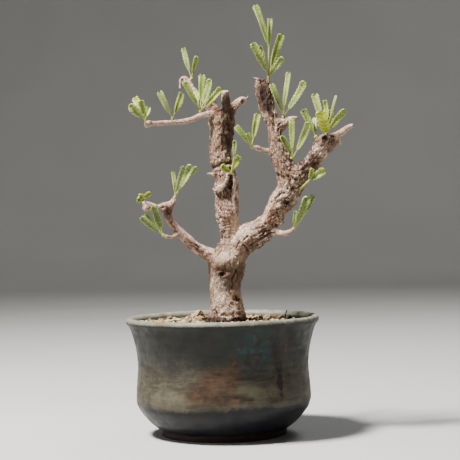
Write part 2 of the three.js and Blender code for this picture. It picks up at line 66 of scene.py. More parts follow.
# %% [markdown]
# Blender measures in metres, but a pot and its leaves are easier to think of in millimetres. So every
# shape below is laid out in millimetres from the pot's axis and foot, and `place` moves it to its spot
# in metres just before it becomes a mesh.

# %% Millimetres from the pot's axis
MM = 0.001
pot_low, pot_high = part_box("pot")
pot_axis = np.array([(pot_low.x + pot_high.x) / 2, (pot_low.y + pot_high.y) / 2, 0.0])
rim_radius = (pot_high.x - pot_low.x) / 2 / MM
pot_height = pot_high.z / MM


def place(points):
    """Metres in the frame: each point in millimetres times 0.001, plus the pot's axis."""
    return np.asarray(points, float) * MM + pot_axis


print(f"rim {2 * rim_radius:.0f} mm across, pot {pot_height:.0f} mm high")

# %% [markdown]
# ## Camera
#
# The camera stands where the photographer's did, a little to the right of the pot's axis and about
# 0.9 m away, with a long lens, level but for a third of a degree. The photograph is slightly rolled, so
# the camera is too. A long lens keeps the rim a flat ellipse.

# %% The camera
IMAGE_WIDTH = 460
focal_length = 1388
camera_stand = (5.86, -860, 130.7)
pitch_down = np.radians(0.32)
roll = np.radians(1.17)

camera_data = bpy.data.cameras.new("camera")
camera_data.sensor_width = 36
camera_data.lens = focal_length * camera_data.sensor_width / IMAGE_WIDTH
camera_data.clip_start = 0.05
camera_data.clip_end = 50
camera = bpy.data.objects.new("camera", camera_data)
bpy.context.scene.collection.objects.link(camera)
bpy.context.scene.camera = camera
level = Matrix.Rotation(np.pi / 2 - pitch_down, 4, "X")
camera.matrix_world = (
    Matrix.Translation(place(camera_stand)) @ level @ Matrix.Rotation(-roll, 4, "Z")
)
print(f"lens {camera_data.lens:.1f} mm")

# %% [markdown]
# ## Noise without loops
#
# Bark, glaze and soil all need irregular numbers that stay the same on every run. Each whole-number
# cell of space gets a number from its coordinates by mixing their bits, and the noise blends the eight
# cells round a point. All points are worked out at once as arrays, which is hundreds of times
# faster than a loop over them.

# %% Irregular numbers
MASK = 0xFFFFFFFF


def cell_number(cells, seed):
    """A repeatable number from 0 to 1 per cell: coordinates times odd factors, combined bit by bit,
    then shuffled twice by a shift and a product."""
    c = np.asarray(cells).astype(np.int64)
    bits = (c[..., 0] * 73856093) ^ (c[..., 1] * 19349663) ^ (c[..., 2] * 83492791)
    bits = (bits ^ (seed * 40503 + 977)) & MASK
    bits = ((bits ^ (bits >> 13)) * 1274126177) & MASK
    bits = ((bits ^ (bits >> 16)) * 668265263) & MASK
    return ((bits ^ (bits >> 15)) & 0xFFFFFF) / 0xFFFFFF


def noise(points, size, seed=0):
    """Smooth noise from -1 to 1: cell numbers set size apart, blended on each axis by 3t^2 - 2t^3."""
    scaled = np.asarray(points, float) / size
    base = np.floor(scaled)
    part = scaled - base
    part = part * part * (3 - 2 * part)
    total = np.zeros(scaled.shape[:-1])
    for corner in np.ndindex(2, 2, 2):
        share = np.where(np.array(corner) == 1, part, 1 - part).prod(axis=-1)
        total += share * cell_number(base + np.array(corner), seed)
    return 2 * total - 1


def layered(points, size, layers=3, seed=0):
    """Noise added up in layers, each half the size and half the strength of the one before."""
    return sum(noise(points, size / 2**k, seed + k) / 2**k for k in range(layers))


def cell_edges(points, size, seed=0):
    """How near a point is to a border between scattered cells: second nearest distance less nearest,
    over size. It is 0 on a border and grows to about 1 inside a cell."""
    scaled = np.asarray(points, float) / size
    base = np.floor(scaled)
    nearest = np.full(scaled.shape[:-1], 9.0)
    second = nearest.copy()
    for step in np.ndindex(3, 3, 3):
        cell = base + np.array(step) - 1
        centre = cell + np.stack([cell_number(cell, seed + k) for k in (11, 23, 37)], axis=-1)
        gap = np.linalg.norm(scaled - centre, axis=-1)
        second = np.minimum(second, np.maximum(nearest, gap))
        nearest = np.minimum(nearest, gap)
    return second - nearest


def ramp(value, low, high):
    """0 below low, 1 above high, and 3t^2 - 2t^3 between."""
    t = np.clip((value - low) / (high - low), 0, 1)
    return t * t * (3 - 2 * t)


sample = noise(np.random.default_rng(1).uniform(0, 50, (1000, 3)), 3)
print(f"noise from {sample.min():.2f} to {sample.max():.2f}")

# %% [markdown]
# ## Curves and meshes
#
# A branch, a pot's wall and a leaf's rib are all smooth lines through a few chosen points. The curve
# here takes its speed from the distances between those points, so it doesn't loop or overshoot at a
# tight corner. A surface is then a grid of points, and its faces are found from the grid alone.

# %% A smooth line through points
def smooth_line(points, t):
    """The point at each t, from 0 at the first point to 1 at the last: a cubic between two neighbours,
    whose slopes there come from the points around, spaced by the square root of their distance.
    A fourth column, such as a radius, is carried along on the same cubic."""
    p = np.asarray(points, float)
    p = np.vstack([2 * p[0] - p[1], p, 2 * p[-1] - p[-2]])
    spans = len(p) - 3
    k = np.minimum((np.asarray(t) * spans).astype(int), spans - 1)
    w = (np.asarray(t) * spans - k)[:, None]
    a, b, c, d = p[k], p[k + 1], p[k + 2], p[k + 3]
    gaps = np.sqrt(np.maximum(np.linalg.norm(np.diff(p[:, :3], axis=0), axis=1), 1e-6))
    g0, g1, g2 = gaps[k][:, None], gaps[k + 1][:, None], gaps[k + 2][:, None]
    slope_b = ((b - a) / g0 - (c - a) / (g0 + g1) + (c - b) / g1) * g1
    slope_c = ((c - b) / g1 - (d - b) / (g1 + g2) + (d - c) / g2) * g1
    return (
        b
        + slope_b * w
        + (3 * (c - b) - 2 * slope_b - slope_c) * w**2
        + (2 * (b - c) + slope_b + slope_c) * w**3
    )


def evenly(points, count):
    """The smooth line through the points as count samples, equally far apart along it."""
    dense = smooth_line(points, np.linspace(0, 1, 40 * len(points)))
    steps = np.linalg.norm(np.diff(dense[:, :3], axis=0), axis=1)
    run = np.concatenate([[0], np.cumsum(steps)])
    wanted = np.linspace(0, run[-1], count)
    return np.stack([np.interp(wanted, run, column) for column in dense.T], axis=1)


def grid_faces(rows, columns, closed_rows=False, closed_columns=True):
    """The corners of each face of a grid whose points are stored row by row; a closed way joins its
    last line of points to its first."""
    r = np.arange(rows if closed_rows else rows - 1)
    c = np.arange(columns if closed_columns else columns - 1)
    i, j = np.meshgrid(r, c, indexing="ij")
    down, right = (i + 1) % rows, (j + 1) % columns
    corners = [i * columns + j, i * columns + right, down * columns + right, down * columns + j]
    return np.stack(corners, axis=-1).reshape(-1, 4)


def pole_faces(pole, first, columns, upward):
    """Triangles between one point and a ring of columns points that starts at first."""
    ring = first + np.arange(columns)
    following = first + (np.arange(columns) + 1) % columns
    tip = np.full(columns, pole)
    order = [tip, ring, following] if upward else [tip, following, ring]
    return np.stack(order, axis=-1)


def make_piece(name, points, faces, marks=None, flat=False):
    """An object from points in millimetres and faces, with a number or three per point for each
    named mark."""
    mesh = bpy.data.meshes.new(name)
    mesh.from_pydata(place(points).tolist(), [], [face for part in faces for face in part.tolist()])
    for mark, values in (marks or {}).items():
        values = np.asarray(values, np.float32)
        kind, field = ("FLOAT", "value") if values.ndim == 1 else ("FLOAT_VECTOR", "vector")
        mesh.attributes.new(mark, kind, "POINT").data.foreach_set(field, values.ravel())
    mesh.polygons.foreach_set("use_smooth", np.full(len(mesh.polygons), not flat))
    mesh.update()
    piece = bpy.data.objects.new(name, mesh)
    bpy.context.scene.collection.objects.link(piece)
    return piece


def dress(piece, slot, material, *nodes):
    """The piece rides on the one body, stands for the nodes and takes the material as its finish. The slot is
    not used.
    """
    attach(piece, "root")
    if nodes:
        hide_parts(*nodes)
    piece.data.materials.clear()
    piece.data.materials.append(material)
    print(f"{piece.name}: {len(piece.data.vertices)} points, {len(piece.data.polygons)} faces")


# %% [markdown]
# A tube needs a frame at each point of its line: the way along, and two ways across. The branches all
# grow nearly in one upright plane, so the way across that lies in that plane is the cross product of
# the depth axis and the way along, and it never flips. Rounded ends close the tube.

# %% A tube along a limb
DEPTH = np.array([0.0, 1.0, 0.0])


def frames(centres):
    """The way along the line at each point, and two unit vectors across it."""
    along = np.gradient(centres, axis=0)
    along /= np.linalg.norm(along, axis=1, keepdims=True)
    side = np.cross(DEPTH, along)
    side /= np.linalg.norm(side, axis=1, keepdims=True)
    return along, side, np.cross(along, side)


def tube(line, sides=28, dome=0.35, spacing=1.0):
    """Rings of the line's radius round it, closed at both ends by three shrinking rings that bulge out
    by dome times the radius, and a pole."""
    length = np.linalg.norm(np.diff(np.asarray(line)[:, :3], axis=0), axis=1).sum()
    samples = evenly(line, max(6, int(length / spacing)))
    along, side, across = frames(samples[:, :3])
    bend = np.array([0.35, 0.7, 0.92])
    shrink = np.concatenate([np.sqrt(1 - bend[::-1] ** 2), np.ones(len(samples)), np.sqrt(1 - bend**2)])
    push = np.concatenate([-bend[::-1], np.zeros(len(samples)), bend])
    index = np.clip(np.arange(len(shrink)) - 3, 0, len(samples) - 1)
    ring_radius = samples[index, 3] * shrink
    centres = samples[index, :3] + along[index] * (push * dome * samples[index, 3])[:, None]
    turn_at = np.linspace(0, 2 * np.pi, sides, endpoint=False)
    cosine, sine = np.cos(turn_at)[None, :, None], np.sin(turn_at)[None, :, None]
    circle = cosine * side[index, None] + sine * across[index, None]
    points = (centres[:, None] + circle * ring_radius[:, None, None]).reshape(-1, 3)
    start = samples[0, :3] - along[0] * dome * samples[0, 3]
    end = samples[-1, :3] + along[-1] * dome * samples[-1, 3]
    rows = len(shrink)
    faces = [
        grid_faces(rows, sides),
        pole_faces(rows * sides, 0, sides, upward=False),
        pole_faces(rows * sides + 1, (rows - 1) * sides, sides, upward=True),
    ]
    return np.concatenate([points, [start, end]]), faces


def ball(centre, size, stretch):
    """A closed ball, stretched along the three axes: a tube whose rings follow a half circle."""
    bow = np.linspace(-0.96, 0.96, 14)
    line = [(0, 0, b * size, size * np.sqrt(1 - b**2)) for b in bow]
    points, faces = tube(line, sides=20, dome=0.15)
    return points * np.array(stretch) + np.array(centre), faces


def gather(parts):
    """Points and faces of many shapes as one."""
    points, faces, start = [], [], 0
    for shape_points, shape_faces in parts:
        points.append(shape_points)
        faces += [f + start for f in shape_faces]
        start += len(shape_points)
    return np.concatenate(points), faces


# %% [markdown]
# ## Building materials from nodes
#
# A finish is a small graph of nodes. Writing each node out takes many lines, so two helpers make them:
# one adds a node and wires its inputs, the other starts a material with one shader. An input that is
# given as a socket is linked, and one that is given as a value is set.

# %% Helpers for nodes
def add_node(tree, kind, inputs=None, **settings):
    """A node of that kind. Settings are its own properties, inputs a value or a socket by name."""
    node = tree.nodes.new(kind)
    for key, value in settings.items():
        setattr(node, key, value)
    for key, value in (inputs or {}).items():
        if isinstance(value, bpy.types.NodeSocket):
            tree.links.new(value, node.inputs[key])
        else:
            node.inputs[key].default_value = value
    return node


def calc(tree, operation, a, b=0.0, clamp=False):
    """The result of one sum or product."""
    return add_node(tree, "ShaderNodeMath", {0: a, 1: b}, operation=operation, use_clamp=clamp).outputs[0]


def times(tree, a, b):
    """The product of two numbers."""
    return calc(tree, "MULTIPLY", a, b)


def step_up(tree, value, low, high):
    """0 below low, 1 above high, smooth between; with low above high it steps down."""
    node = add_node(
        tree,
        "ShaderNodeMapRange",
        {"Value": value, "From Min": low, "From Max": high},
        interpolation_type="SMOOTHSTEP",
    )
    return node.outputs["Result"]


def mixed(tree, share, a, b):
    """Colour a turned to colour b by share."""
    node = add_node(tree, "ShaderNodeMix", data_type="RGBA")
    for socket, value in zip((node.inputs[0], node.inputs[6], node.inputs[7]), (share, a, b)):
        if isinstance(value, bpy.types.NodeSocket):
            tree.links.new(value, socket)
        else:
            socket.default_value = value
    return node.outputs[2]


def laid(tree, color, mask, strength, coat):
    """The colour with a coat over it: mask times strength of the way to the coat's colour."""
    return mixed(tree, times(tree, mask, strength), color, coat)


def fine_noise(tree, at, scale, detail, roughness=0.5):
    """A noise texture with about scale lumps to a millimetre, and detail finer layers on them."""
    inputs = {"Vector": at, "Scale": scale, "Detail": detail, "Roughness": roughness}
    return add_node(tree, "ShaderNodeTexNoise", inputs).outputs["Fac"]


def mark_of(tree, name):
    """The number that each point of the piece carries under that name."""
    return add_node(tree, "ShaderNodeAttribute", attribute_name=name).outputs["Fac"]


def new_material(name, **constants):
    """A material with one Principled shader, and the sockets that are the same all over set on it."""
    material = bpy.data.materials.new(name)
    material.use_nodes = True
    shader = material.node_tree.nodes["Principled BSDF"]
    for key, value in constants.items():
        shader.inputs[key.replace("_", " ")].default_value = value
    return material, material.node_tree, shader


def wire(tree, shader, color, roughness, normal):
    """The three things that vary over a surface, linked to its shader."""
    for socket, value in (("Base Color", color), ("Roughness", roughness), ("Normal", normal)):
        tree.links.new(value, shader.inputs[socket])


def rgb(red, green, blue):
    """A colour as the eye reads it, 0 to 255, turned to the linear values that light uses."""
    share = np.array([red, green, blue]) / 255
    linear = np.where(share <= 0.04045, share / 12.92, ((share + 0.055) / 1.055) ** 2.4)
    return (*linear.tolist(), 1.0)


# %% [markdown]
# Two effects come back in several finishes, so they are node groups: `cloud` gives broad soft patches,
# and `ragged` breaks up the border of a mark with a noise. Both work from the point's own place in
# millimetres from the pot's axis, so a pattern neither slides nor stretches.

# %% Shared effects
def new_group(name, *inputs):
    """A node group that turns the named inputs into a mask, and its two end nodes."""
    group = bpy.data.node_groups.new(name, "ShaderNodeTree")
    for socket in inputs:
        kind = "NodeSocketVector" if socket == "Place" else "NodeSocketFloat"
        group.interface.new_socket(socket, in_out="INPUT", socket_type=kind)
    group.interface.new_socket("Mask", in_out="OUTPUT", socket_type="NodeSocketFloat")
    return group, group.nodes.new("NodeGroupInput").outputs, group.nodes.new("NodeGroupOutput").inputs


def millimetres(tree):
    """The point's place in millimetres from the pot's axis and foot."""
    coordinates = add_node(tree, "ShaderNodeTexCoord").outputs["Object"]
    mapping = add_node(
        tree,
        "ShaderNodeMapping",
        {"Vector": coordinates, "Scale": (1 / MM,) * 3, "Location": tuple(-pot_axis / MM)},
    )
    return mapping.outputs["Vector"]


def build_cloud():
    """Soft patches of a size in millimetres: warped noise, stepped up between two thresholds."""
    group, given, result = new_group("cloud", "Place", "Size", "Low", "High", "Detail")
    pattern = add_node(
        group,
        "ShaderNodeTexNoise",
        {"Vector": given["Place"], "Detail": given["Detail"], "Distortion": 0.6,
         "Scale": calc(group, "DIVIDE", 1.0, given["Size"])},
    )
    mask = step_up(group, pattern.outputs["Fac"], given["Low"], given["High"])
    group.links.new(mask, result["Mask"])
    return group


def build_ragged():
    """A mark with a broken border: mark + (grain - 0.5) strength, stepped up between two thresholds."""
    group, given, result = new_group("ragged", "Mark", "Grain", "Low", "High", "Strength")
    unrest = times(group, calc(group, "SUBTRACT", given["Grain"], 0.5), given["Strength"])
    mask = step_up(group, calc(group, "ADD", given["Mark"], unrest), given["Low"], given["High"])
    group.links.new(mask, result["Mask"])
    return group


cloud_group = build_cloud()
ragged_group = build_ragged()


def cloud(tree, at, size, low, high, detail=3.0):
    """The cloud group placed in a material: patches of a size in millimetres."""
    inputs = {"Place": at, "Size": size, "Low": low, "High": high, "Detail": detail}
    return add_node(tree, "ShaderNodeGroup", inputs, node_tree=cloud_group).outputs["Mask"]


def ragged(tree, mark, grain, low, high, strength):
    """The ragged group placed in a material, round the mark that the mesh carries under a name."""
    inputs = {"Mark": mark_of(tree, mark), "Grain": grain, "Low": low, "High": high, "Strength": strength}
    return add_node(tree, "ShaderNodeGroup", inputs, node_tree=ragged_group).outputs["Mask"]


def bump(tree, height, distance, strength=1.0):
    """A normal that makes light read the height as relief, distance metres deep."""
    node = add_node(tree, "ShaderNodeBump", {"Height": height, "Distance": distance, "Strength": strength})
    return node.outputs["Normal"]


# %% [markdown]
# ## Pot
#
# The real pot is thrown stoneware. Its wall rises from a narrow unglazed foot, swells low down,
# draws in at the waist and opens to a thick rolled lip. A lathe would make it too perfect, so the wall
# is a profile carried round the axis as a grid, and the grid is then moved: a slow wobble from the
# potter's hands, throwing rings, dents, and a ledge where the thick glaze stopped running.

# %% The pot's profile
# Corners of the clay's cut face, radius and height, from the foot up the outside and down the inside,
# through the drain hole and back under the floor to the foot ring.
PROFILE_POINTS = 250
wall_outside = [
    (39, 0.3), (39.1, 3.6), (41.6, 5), (46.5, 9), (51.2, 14.2), (53.7, 18.4), (54.4, 23), (53.8, 33),
    (53.1, 43), (53.8, 51.5), (55.5, 59.4), (57.6, 66.4), (58.6, 68.2), (59.7, 69.6), (60, 71.2),
    (59.3, 72.5), (57.9, 73),
]
wall_inside = [
    (56.3, 72.5), (55.3, 71.2), (54.4, 68.8), (50.8, 59), (48.8, 47), (49.6, 26), (47.6, 15.4), (42, 9.4),
    (33, 7),
]
floor_and_foot = [
    (20, 7), (8.4, 6.9), (7, 6.2), (7, 4.4), (8.4, 3.6), (20, 3.1), (33, 3), (33.9, 2.6), (34.5, 0.4),
    (35.2, 0), (38.3, 0), (39, 0.3),
]


def flat_line(corners, count):
    """The smooth line through (radius, height) corners, evenly spaced."""
    return evenly([(r, h, 0) for r, h in corners], count)[:, :2]


profile = flat_line(wall_outside + wall_inside + floor_and_foot, PROFILE_POINTS)[:-1]
outer_count = int(np.argmax(profile[:, 1] > pot_height - 0.05)) + 1
print(f"profile of {len(profile)} points, {outer_count} of them outside")

# %% [markdown]
# Marks on the pot are given by their place round it, as the angle from the front towards the right,
# and by their height. `spot` turns such a place into a soft round mask on the whole grid at
# once. The same masks move the wall, where a mark is a dent, and colour it, where it is a stain.

# %% Masks round the pot
POT_SIDES = 280
turn = np.linspace(0, 2 * np.pi, POT_SIDES, endpoint=False)
angle, radius = np.meshgrid(turn, profile[:, 0])
height = np.repeat(profile[:, 1][:, None], POT_SIDES, axis=1)
is_outside = np.repeat((np.arange(len(profile)) < outer_count)[:, None], POT_SIDES, axis=1)
on_wall = np.stack([radius * np.sin(angle), -radius * np.cos(angle), height], axis=-1)


def spot(degrees, at_height, width, tall, rough=0.35, seed=0):
    """exp(-d^2) round a place on the pot, where d is the distance over the spot's half-size, made
    uneven by noise."""
    away = np.angle(np.exp(1j * (angle - np.radians(degrees)))) * radius
    d = np.hypot(away / width, (height - at_height) / tall)
    d = d * (1 + rough * layered(on_wall, 7, 3, seed))
    return np.exp(-(d**2)) * is_outside


def spots(first_seed, places, rough=0.35):
    """Spots added up. Each is (degrees, height, half-width, half-height, strength), with its own seed."""
    return sum(
        strength * spot(*where, rough, first_seed + i) for i, (*where, strength) in enumerate(places)
    )


rust = spots(40, [
    (-6, 41, 6, 6, 1), (-12, 33, 9, 6, 1), (-17, 28, 8, 4, 1), (2, 36, 8, 8, 1), (3, 27, 10, 4, 1),
    (7, 46, 4, 6, 1), (43, 57, 2.8, 5, 1),
], rough=0.25)
rust = rust + spots(49, [(-57, 42, 11, 6, 0.45)])
rust_behind = spots(90, [(170, 36, 16, 10, 1), (115, 44, 8, 12, 1), (-110, 40, 12, 7, 1)])
rust = np.clip(rust + 0.8 * rust_behind, 0, 1)
drip = spots(50, [(38.5, 45.5, 3, 4.5, 1), (39, 38, 1.5, 5, 1), (39.5, 30, 1.1, 6, 0.9), (35, 57, 2, 6, 0.8)])
drip = drip * ramp(noise(on_wall, 3, 54), -1.0, -0.3)
blue = spots(60, [(15, 56, 9, 7, 1), (27, 52, 9, 8, 1), (22, 62, 14, 5, 0.7), (14, 47, 12, 3, 0.8)])
pale = spots(70, [(15, 33, 8, 3, 1), (7, 23.5, 12, 1.6, 1), (-36, 28, 16, 4, 0.8), (30, 30, 14, 3, 0.7)])
dents = spots(77, [
    (-66, 46, 4, 1.2, 1), (-60, 39, 5, 1.1, 1), (-68, 34, 4, 1, 1), (-56, 44, 4, 1.6, 1),
    (-50, 42, 3, 1.4, 1), (-48, 36, 5, 1.3, 1), (9, 28.5, 3, 0.9, 1), (17, 27, 4, 1.2, 1),
    (11, 40, 3, 1, 0.6), (140, 40, 4, 1.4, 1), (-130, 33, 5, 1.5, 1), (95, 47, 3, 1.2, 1),
])
stain = spots(95, [(-38, 72, 8, 3, 1), (24, 72, 12, 2.4, 0.7), (160, 72, 14, 3, 0.7)])
print(f"rust covers {100 * (rust > 0.5).mean():.1f}% of the grid")

# %% The pot's shape
glaze_edge = 20.6 + 1.0 * np.sin(2 * angle + 0.6) + 0.6 * np.sin(5 * angle) + 0.8 * noise(on_wall, 9, 5)
wobble = 0.14 * (np.sin(2 * angle + 1) - 1) + 0.1 * (np.sin(3 * angle + height / 25) - 1)
THROWING_STEP = 4.6
ring_rise = height + 0.9 * np.sin(angle) + noise(on_wall, 12, 6)
rings = 0.045 * np.sin(2 * np.pi * ring_rise / THROWING_STEP) * ramp(height, 20, 30) * ramp(height, 70, 62)
ledge = 0.35 * (ramp(height, glaze_edge - 0.5, glaze_edge + 0.7) - 1) * ramp(height, 8, 12)
texture = 0.05 * noise(on_wall, 2.2, 7) + 0.07 * noise(on_wall, 6, 8)
relief = wobble + np.where(is_outside & (height > 5), rings + ledge + texture - 0.75 * dents, 0)
pot_radius = np.minimum(radius + relief, rim_radius)
pot_rise = np.maximum(height + 0.12 * (np.sin(angle * 2 + 2) - 1) * ramp(height, 60, 72), 0)
pot_points = np.stack([pot_radius * np.sin(angle), -pot_radius * np.cos(angle), pot_rise], axis=-1)
pot_faces = grid_faces(len(profile), POT_SIDES, closed_rows=True)
pot_marks = {"rust": rust, "drip": drip, "blue": blue, "pale": pale, "dents": dents, "stain": stain}
pot_marks = {mark: np.clip(values, 0, 1).ravel() for mark, values in pot_marks.items()}
pot_marks["glaze_edge"] = (height - glaze_edge).ravel()
pot_marks["outside"] = is_outside.ravel() * 1.0
pot = make_piece("stoneware_pot", pot_points.reshape(-1, 3), [pot_faces], pot_marks)
print(f"{len(pot_faces)} faces")

# %% [markdown]
# The glaze lies in layers that ran down in the kiln. The upper wall is dark olive grey, the belly a
# worn beige grey, and below a wavy edge the clay turns blue-grey and glossy. The wall's colours are
# kept darker than the glaze as painted shade, deepest on the upper wall under the lip, and the
# unglazed foot is dark clay darkened further as painted shade. Rust-brown breaks through in patches,
# a broken brown run has dripped down on the right, and the lip and the inside are a pale grey-green.
# Every patch is a mask carried by the mesh, roughened by finer noise so that its edge is crisp at any
# distance.

# %% The glaze
def stoneware():
    """Colours laid over each other by masks, with fine pitting in the bump."""
    material, tree, shader = new_material("stoneware_glaze", Specular_IOR_Level=0.22)
    at = millimetres(tree)
    rise = add_node(tree, "ShaderNodeSeparateXYZ", {0: at}).outputs["Z"]
    grain = fine_noise(tree, at, 0.45, 6.0, 0.65)
    unrest = calc(tree, "SUBTRACT", grain, 0.5)

    def uneven_rise(amount):
        """The height in millimetres, moved up and down by the fine noise."""
        return calc(tree, "ADD", rise, times(tree, unrest, amount))

    thrown = add_node(tree, "ShaderNodeMapping", {"Vector": at, "Scale": (0.12, 0.12, 1.0)}).outputs["Vector"]
    streak = step_up(tree, fine_noise(tree, thrown, 0.7, 5.0), 0.42, 0.68)
    # The wall's glaze colours are kept dark as painted shade, darker on the upper wall under the lip than on
    # the belly.
    color = mixed(tree, cloud(tree, at, 16, 0.35, 0.65), rgb(21, 24, 21), rgb(32, 32, 28))
    belly = mixed(tree, cloud(tree, at, 9, 0.35, 0.7), rgb(50, 47, 38), rgb(72, 67, 54))
    belly = laid(tree, belly, streak, 0.4, rgb(90, 83, 65))
    color = mixed(tree, step_up(tree, uneven_rise(26.0), 55.0, 29.0), color, belly)

    teal, fleck, plum = rgb(19, 44, 41), rgb(52, 60, 62), rgb(42, 28, 33)
    for size, low, high, detail, strength, tint in (
        (5.5, 0.42, 0.56, 6, 0.9, teal), (4, 0.52, 0.68, 6, 0.45, fleck), (7, 0.54, 0.62, 5, 0.7, plum),
    ):
        flecks = times(tree, mark_of(tree, "blue"), cloud(tree, at, size, low, high, detail))
        color = laid(tree, color, flecks, strength, tint)

    rusty = mixed(tree, cloud(tree, at, 4, 0.3, 0.7, 6), rgb(38, 27, 19), rgb(68, 48, 33))
    rusty = laid(tree, rusty, streak, 0.4, rgb(84, 65, 46))
    for mark, low, high, raggedness, strength, tint in (
        ("pale", 0.2, 1.0, 1.6, 0.55, rgb(94, 90, 73)), ("rust", 0.12, 1.05, 0.8, 0.85, rusty),
        ("drip", 0.12, 0.6, 0.7, 0.9, rgb(24, 16, 13)), ("dents", 0.2, 0.9, 0.9, 0.75, rgb(44, 38, 30)),
    ):
        color = laid(tree, color, ragged(tree, mark, grain, low, high, raggedness), strength, tint)

    outside = mark_of(tree, "outside")
    below = times(tree, ragged(tree, "glaze_edge", grain, 1.2, -1.2, 5.0), outside)
    slip = mixed(tree, cloud(tree, at, 11, 0.35, 0.7), rgb(15, 17, 21), rgb(27, 26, 29))
    color = mixed(tree, below, color, slip)
    inner_color = mixed(tree, cloud(tree, at, 8, 0.3, 0.75, 4), rgb(56, 60, 51), rgb(76, 78, 67))
    color = mixed(tree, calc(tree, "SUBTRACT", 1.0, outside), color, inner_color)
    lip_color = mixed(tree, cloud(tree, at, 6, 0.3, 0.75, 4), rgb(94, 96, 83), rgb(128, 127, 111))
    lip_color = laid(tree, lip_color, ragged(tree, "stain", grain, 0.2, 1.0, 0.9), 0.8, rgb(94, 80, 60))
    color = mixed(tree, step_up(tree, uneven_rise(1.6), 70.0, 71.2), color, lip_color)
    # The unglazed foot: dark clay, darkened further as painted shade under the belly.
    clay = step_up(tree, uneven_rise(2.0), 4.6, 3.6)
    color = mixed(tree, clay, color, rgb(42, 28, 22))
    specks = add_node(tree, "ShaderNodeTexVoronoi", {"Vector": at, "Scale": 0.8}).outputs["Distance"]
    color = laid(tree, color, step_up(tree, specks, 0.16, 0.06), 0.35, rgb(36, 31, 26))

    roughness = calc(tree, "ADD", times(tree, cloud(tree, at, 7, 0.3, 0.75, 4), 0.22), 0.42)
    roughness = calc(tree, "SUBTRACT", roughness, times(tree, below, 0.1))
    roughness = calc(tree, "ADD", roughness, times(tree, clay, 0.35), clamp=True)
    wire(tree, shader, color, roughness, bump(tree, fine_noise(tree, at, 1.1, 5.0), 0.00028, 0.6))
    return material


dress(pot, "stoneware", stoneware(), "pot")

# %% [markdown]
# ## Drain mesh
#
# A plastic grid over the drain hole keeps the soil in. Its solid already has the right shape and can
# hardly be seen through the hole, so it stays and gets a dull black plastic with a fine
# grain.

# %% The drain mesh's plastic
def mesh_plastic():
    """Near-black plastic whose roughness and relief vary with fine noise."""
    material, tree, shader = new_material("drain_plastic")
    at = millimetres(tree)
    shade = mixed(tree, cloud(tree, at, 3, 0.3, 0.7), rgb(38, 40, 38), rgb(54, 55, 51))
    grain = fine_noise(tree, at, 3.0, 3.0)
    wire(tree, shader, shade, step_up(tree, grain, -0.6, 1.2), bump(tree, grain, 0.0001, 0.6))
    return material


drain_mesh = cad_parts["drain_mesh"]
drain_mesh.data.materials.clear()
drain_mesh.data.materials.append(mesh_plastic())
print("drain mesh:", len(drain_mesh.data.polygons), "faces")

# %% [markdown]
# ## Soil
#
# The tree grows in a free-draining mix of baked clay and pumice granules. One closed body fills the
# pot up to the granules, and the top of it carries a crumbly relief. Nearly three thousand granules
# lie on it, each a small stone of its own with two dozen faces, because their edges and gaps show at
# the rim, where a painted surface would look flat.

# %% The filling under the granules
TRUNK_X = 3.0
ROOT_HOLE = 12.4
ROOT_FLOOR = 40.0
SOIL_FLOOR = 7.5
SOIL_RADIUS = 53.6
SOIL_LEVEL = 67.6
SOIL_SIDES = 150
SOIL_RINGS = 60
heap_at = np.array([-15.0, 11.0])


def soil_height(x, y):
    """The granules' ground: level, with a heap left of the trunk and a slope down at the wall."""
    heap = 4.8 * np.exp(-((x - heap_at[0]) ** 2 + (y - heap_at[1]) ** 2) / 34)
    return SOIL_LEVEL + heap - 1.2 * ramp(np.hypot(x, y), 47, SOIL_RADIUS)


def filling():
    """A closed profile carried round: floor, wall, top and the trunk's hole. Rings slide sideways
    from the pot's axis to the trunk's as they come near the hole."""
    wall = [
        (24, SOIL_FLOOR), (33, SOIL_FLOOR), (41.6, 9.9), (47.1, 15.8), (49.2, 26), (48.4, 47), (50.4, 59),
        (SOIL_RADIUS, SOIL_LEVEL - 1.4),
    ]
    top = np.linspace(SOIL_RADIUS - 0.6, ROOT_HOLE, SOIL_RINGS)
    hole = [(ROOT_HOLE, 60), (ROOT_HOLE, 50), (ROOT_HOLE, ROOT_FLOOR), (7, ROOT_FLOOR)]
    radii = np.concatenate([[r for r, h in wall], top, [r for r, h in hole]])
    rises = np.concatenate([[h for r, h in wall], np.full(SOIL_RINGS, SOIL_LEVEL), [h for r, h in hole]])
    a = np.linspace(0, 2 * np.pi, SOIL_SIDES, endpoint=False)
    slide = TRUNK_X * np.concatenate([np.zeros(len(wall)), ramp(top, 40, 14), np.ones(len(hole))])
    x = radii[:, None] * np.cos(a) + slide[:, None]
    y = radii[:, None] * np.sin(a)
    z = np.repeat(rises[:, None], SOIL_SIDES, axis=1)
    on_top = np.zeros(len(radii), bool)
    on_top[len(wall):len(wall) + SOIL_RINGS] = True
    crumbs = layered(np.stack([x, y, z * 0], axis=-1), 4.5, 4, 120)
    z[on_top] = (soil_height(x, y) + 0.7 * crumbs)[on_top]
    poles = [[0, 0, SOIL_FLOOR + 0.8], [TRUNK_X, 0, ROOT_FLOOR]]
    points = np.concatenate([np.stack([x, y, z], axis=-1).reshape(-1, 3), poles])
    rows = len(radii)
    faces = [
        grid_faces(rows, SOIL_SIDES),
        pole_faces(rows * SOIL_SIDES, 0, SOIL_SIDES, upward=False),
        pole_faces(rows * SOIL_SIDES + 1, (rows - 1) * SOIL_SIDES, SOIL_SIDES, upward=True),
    ]
    return points, faces


soil_points, soil_faces = filling()
print(f"filling: {len(soil_points)} points")

# %% [markdown]
# A granule starts as a cube whose faces are split in four. Its 26 points are drawn towards a ball,
# then each is pushed in or out by its own amount and the whole is stretched and turned. All
# granules are made in one go as an array of granules by points by coordinates.

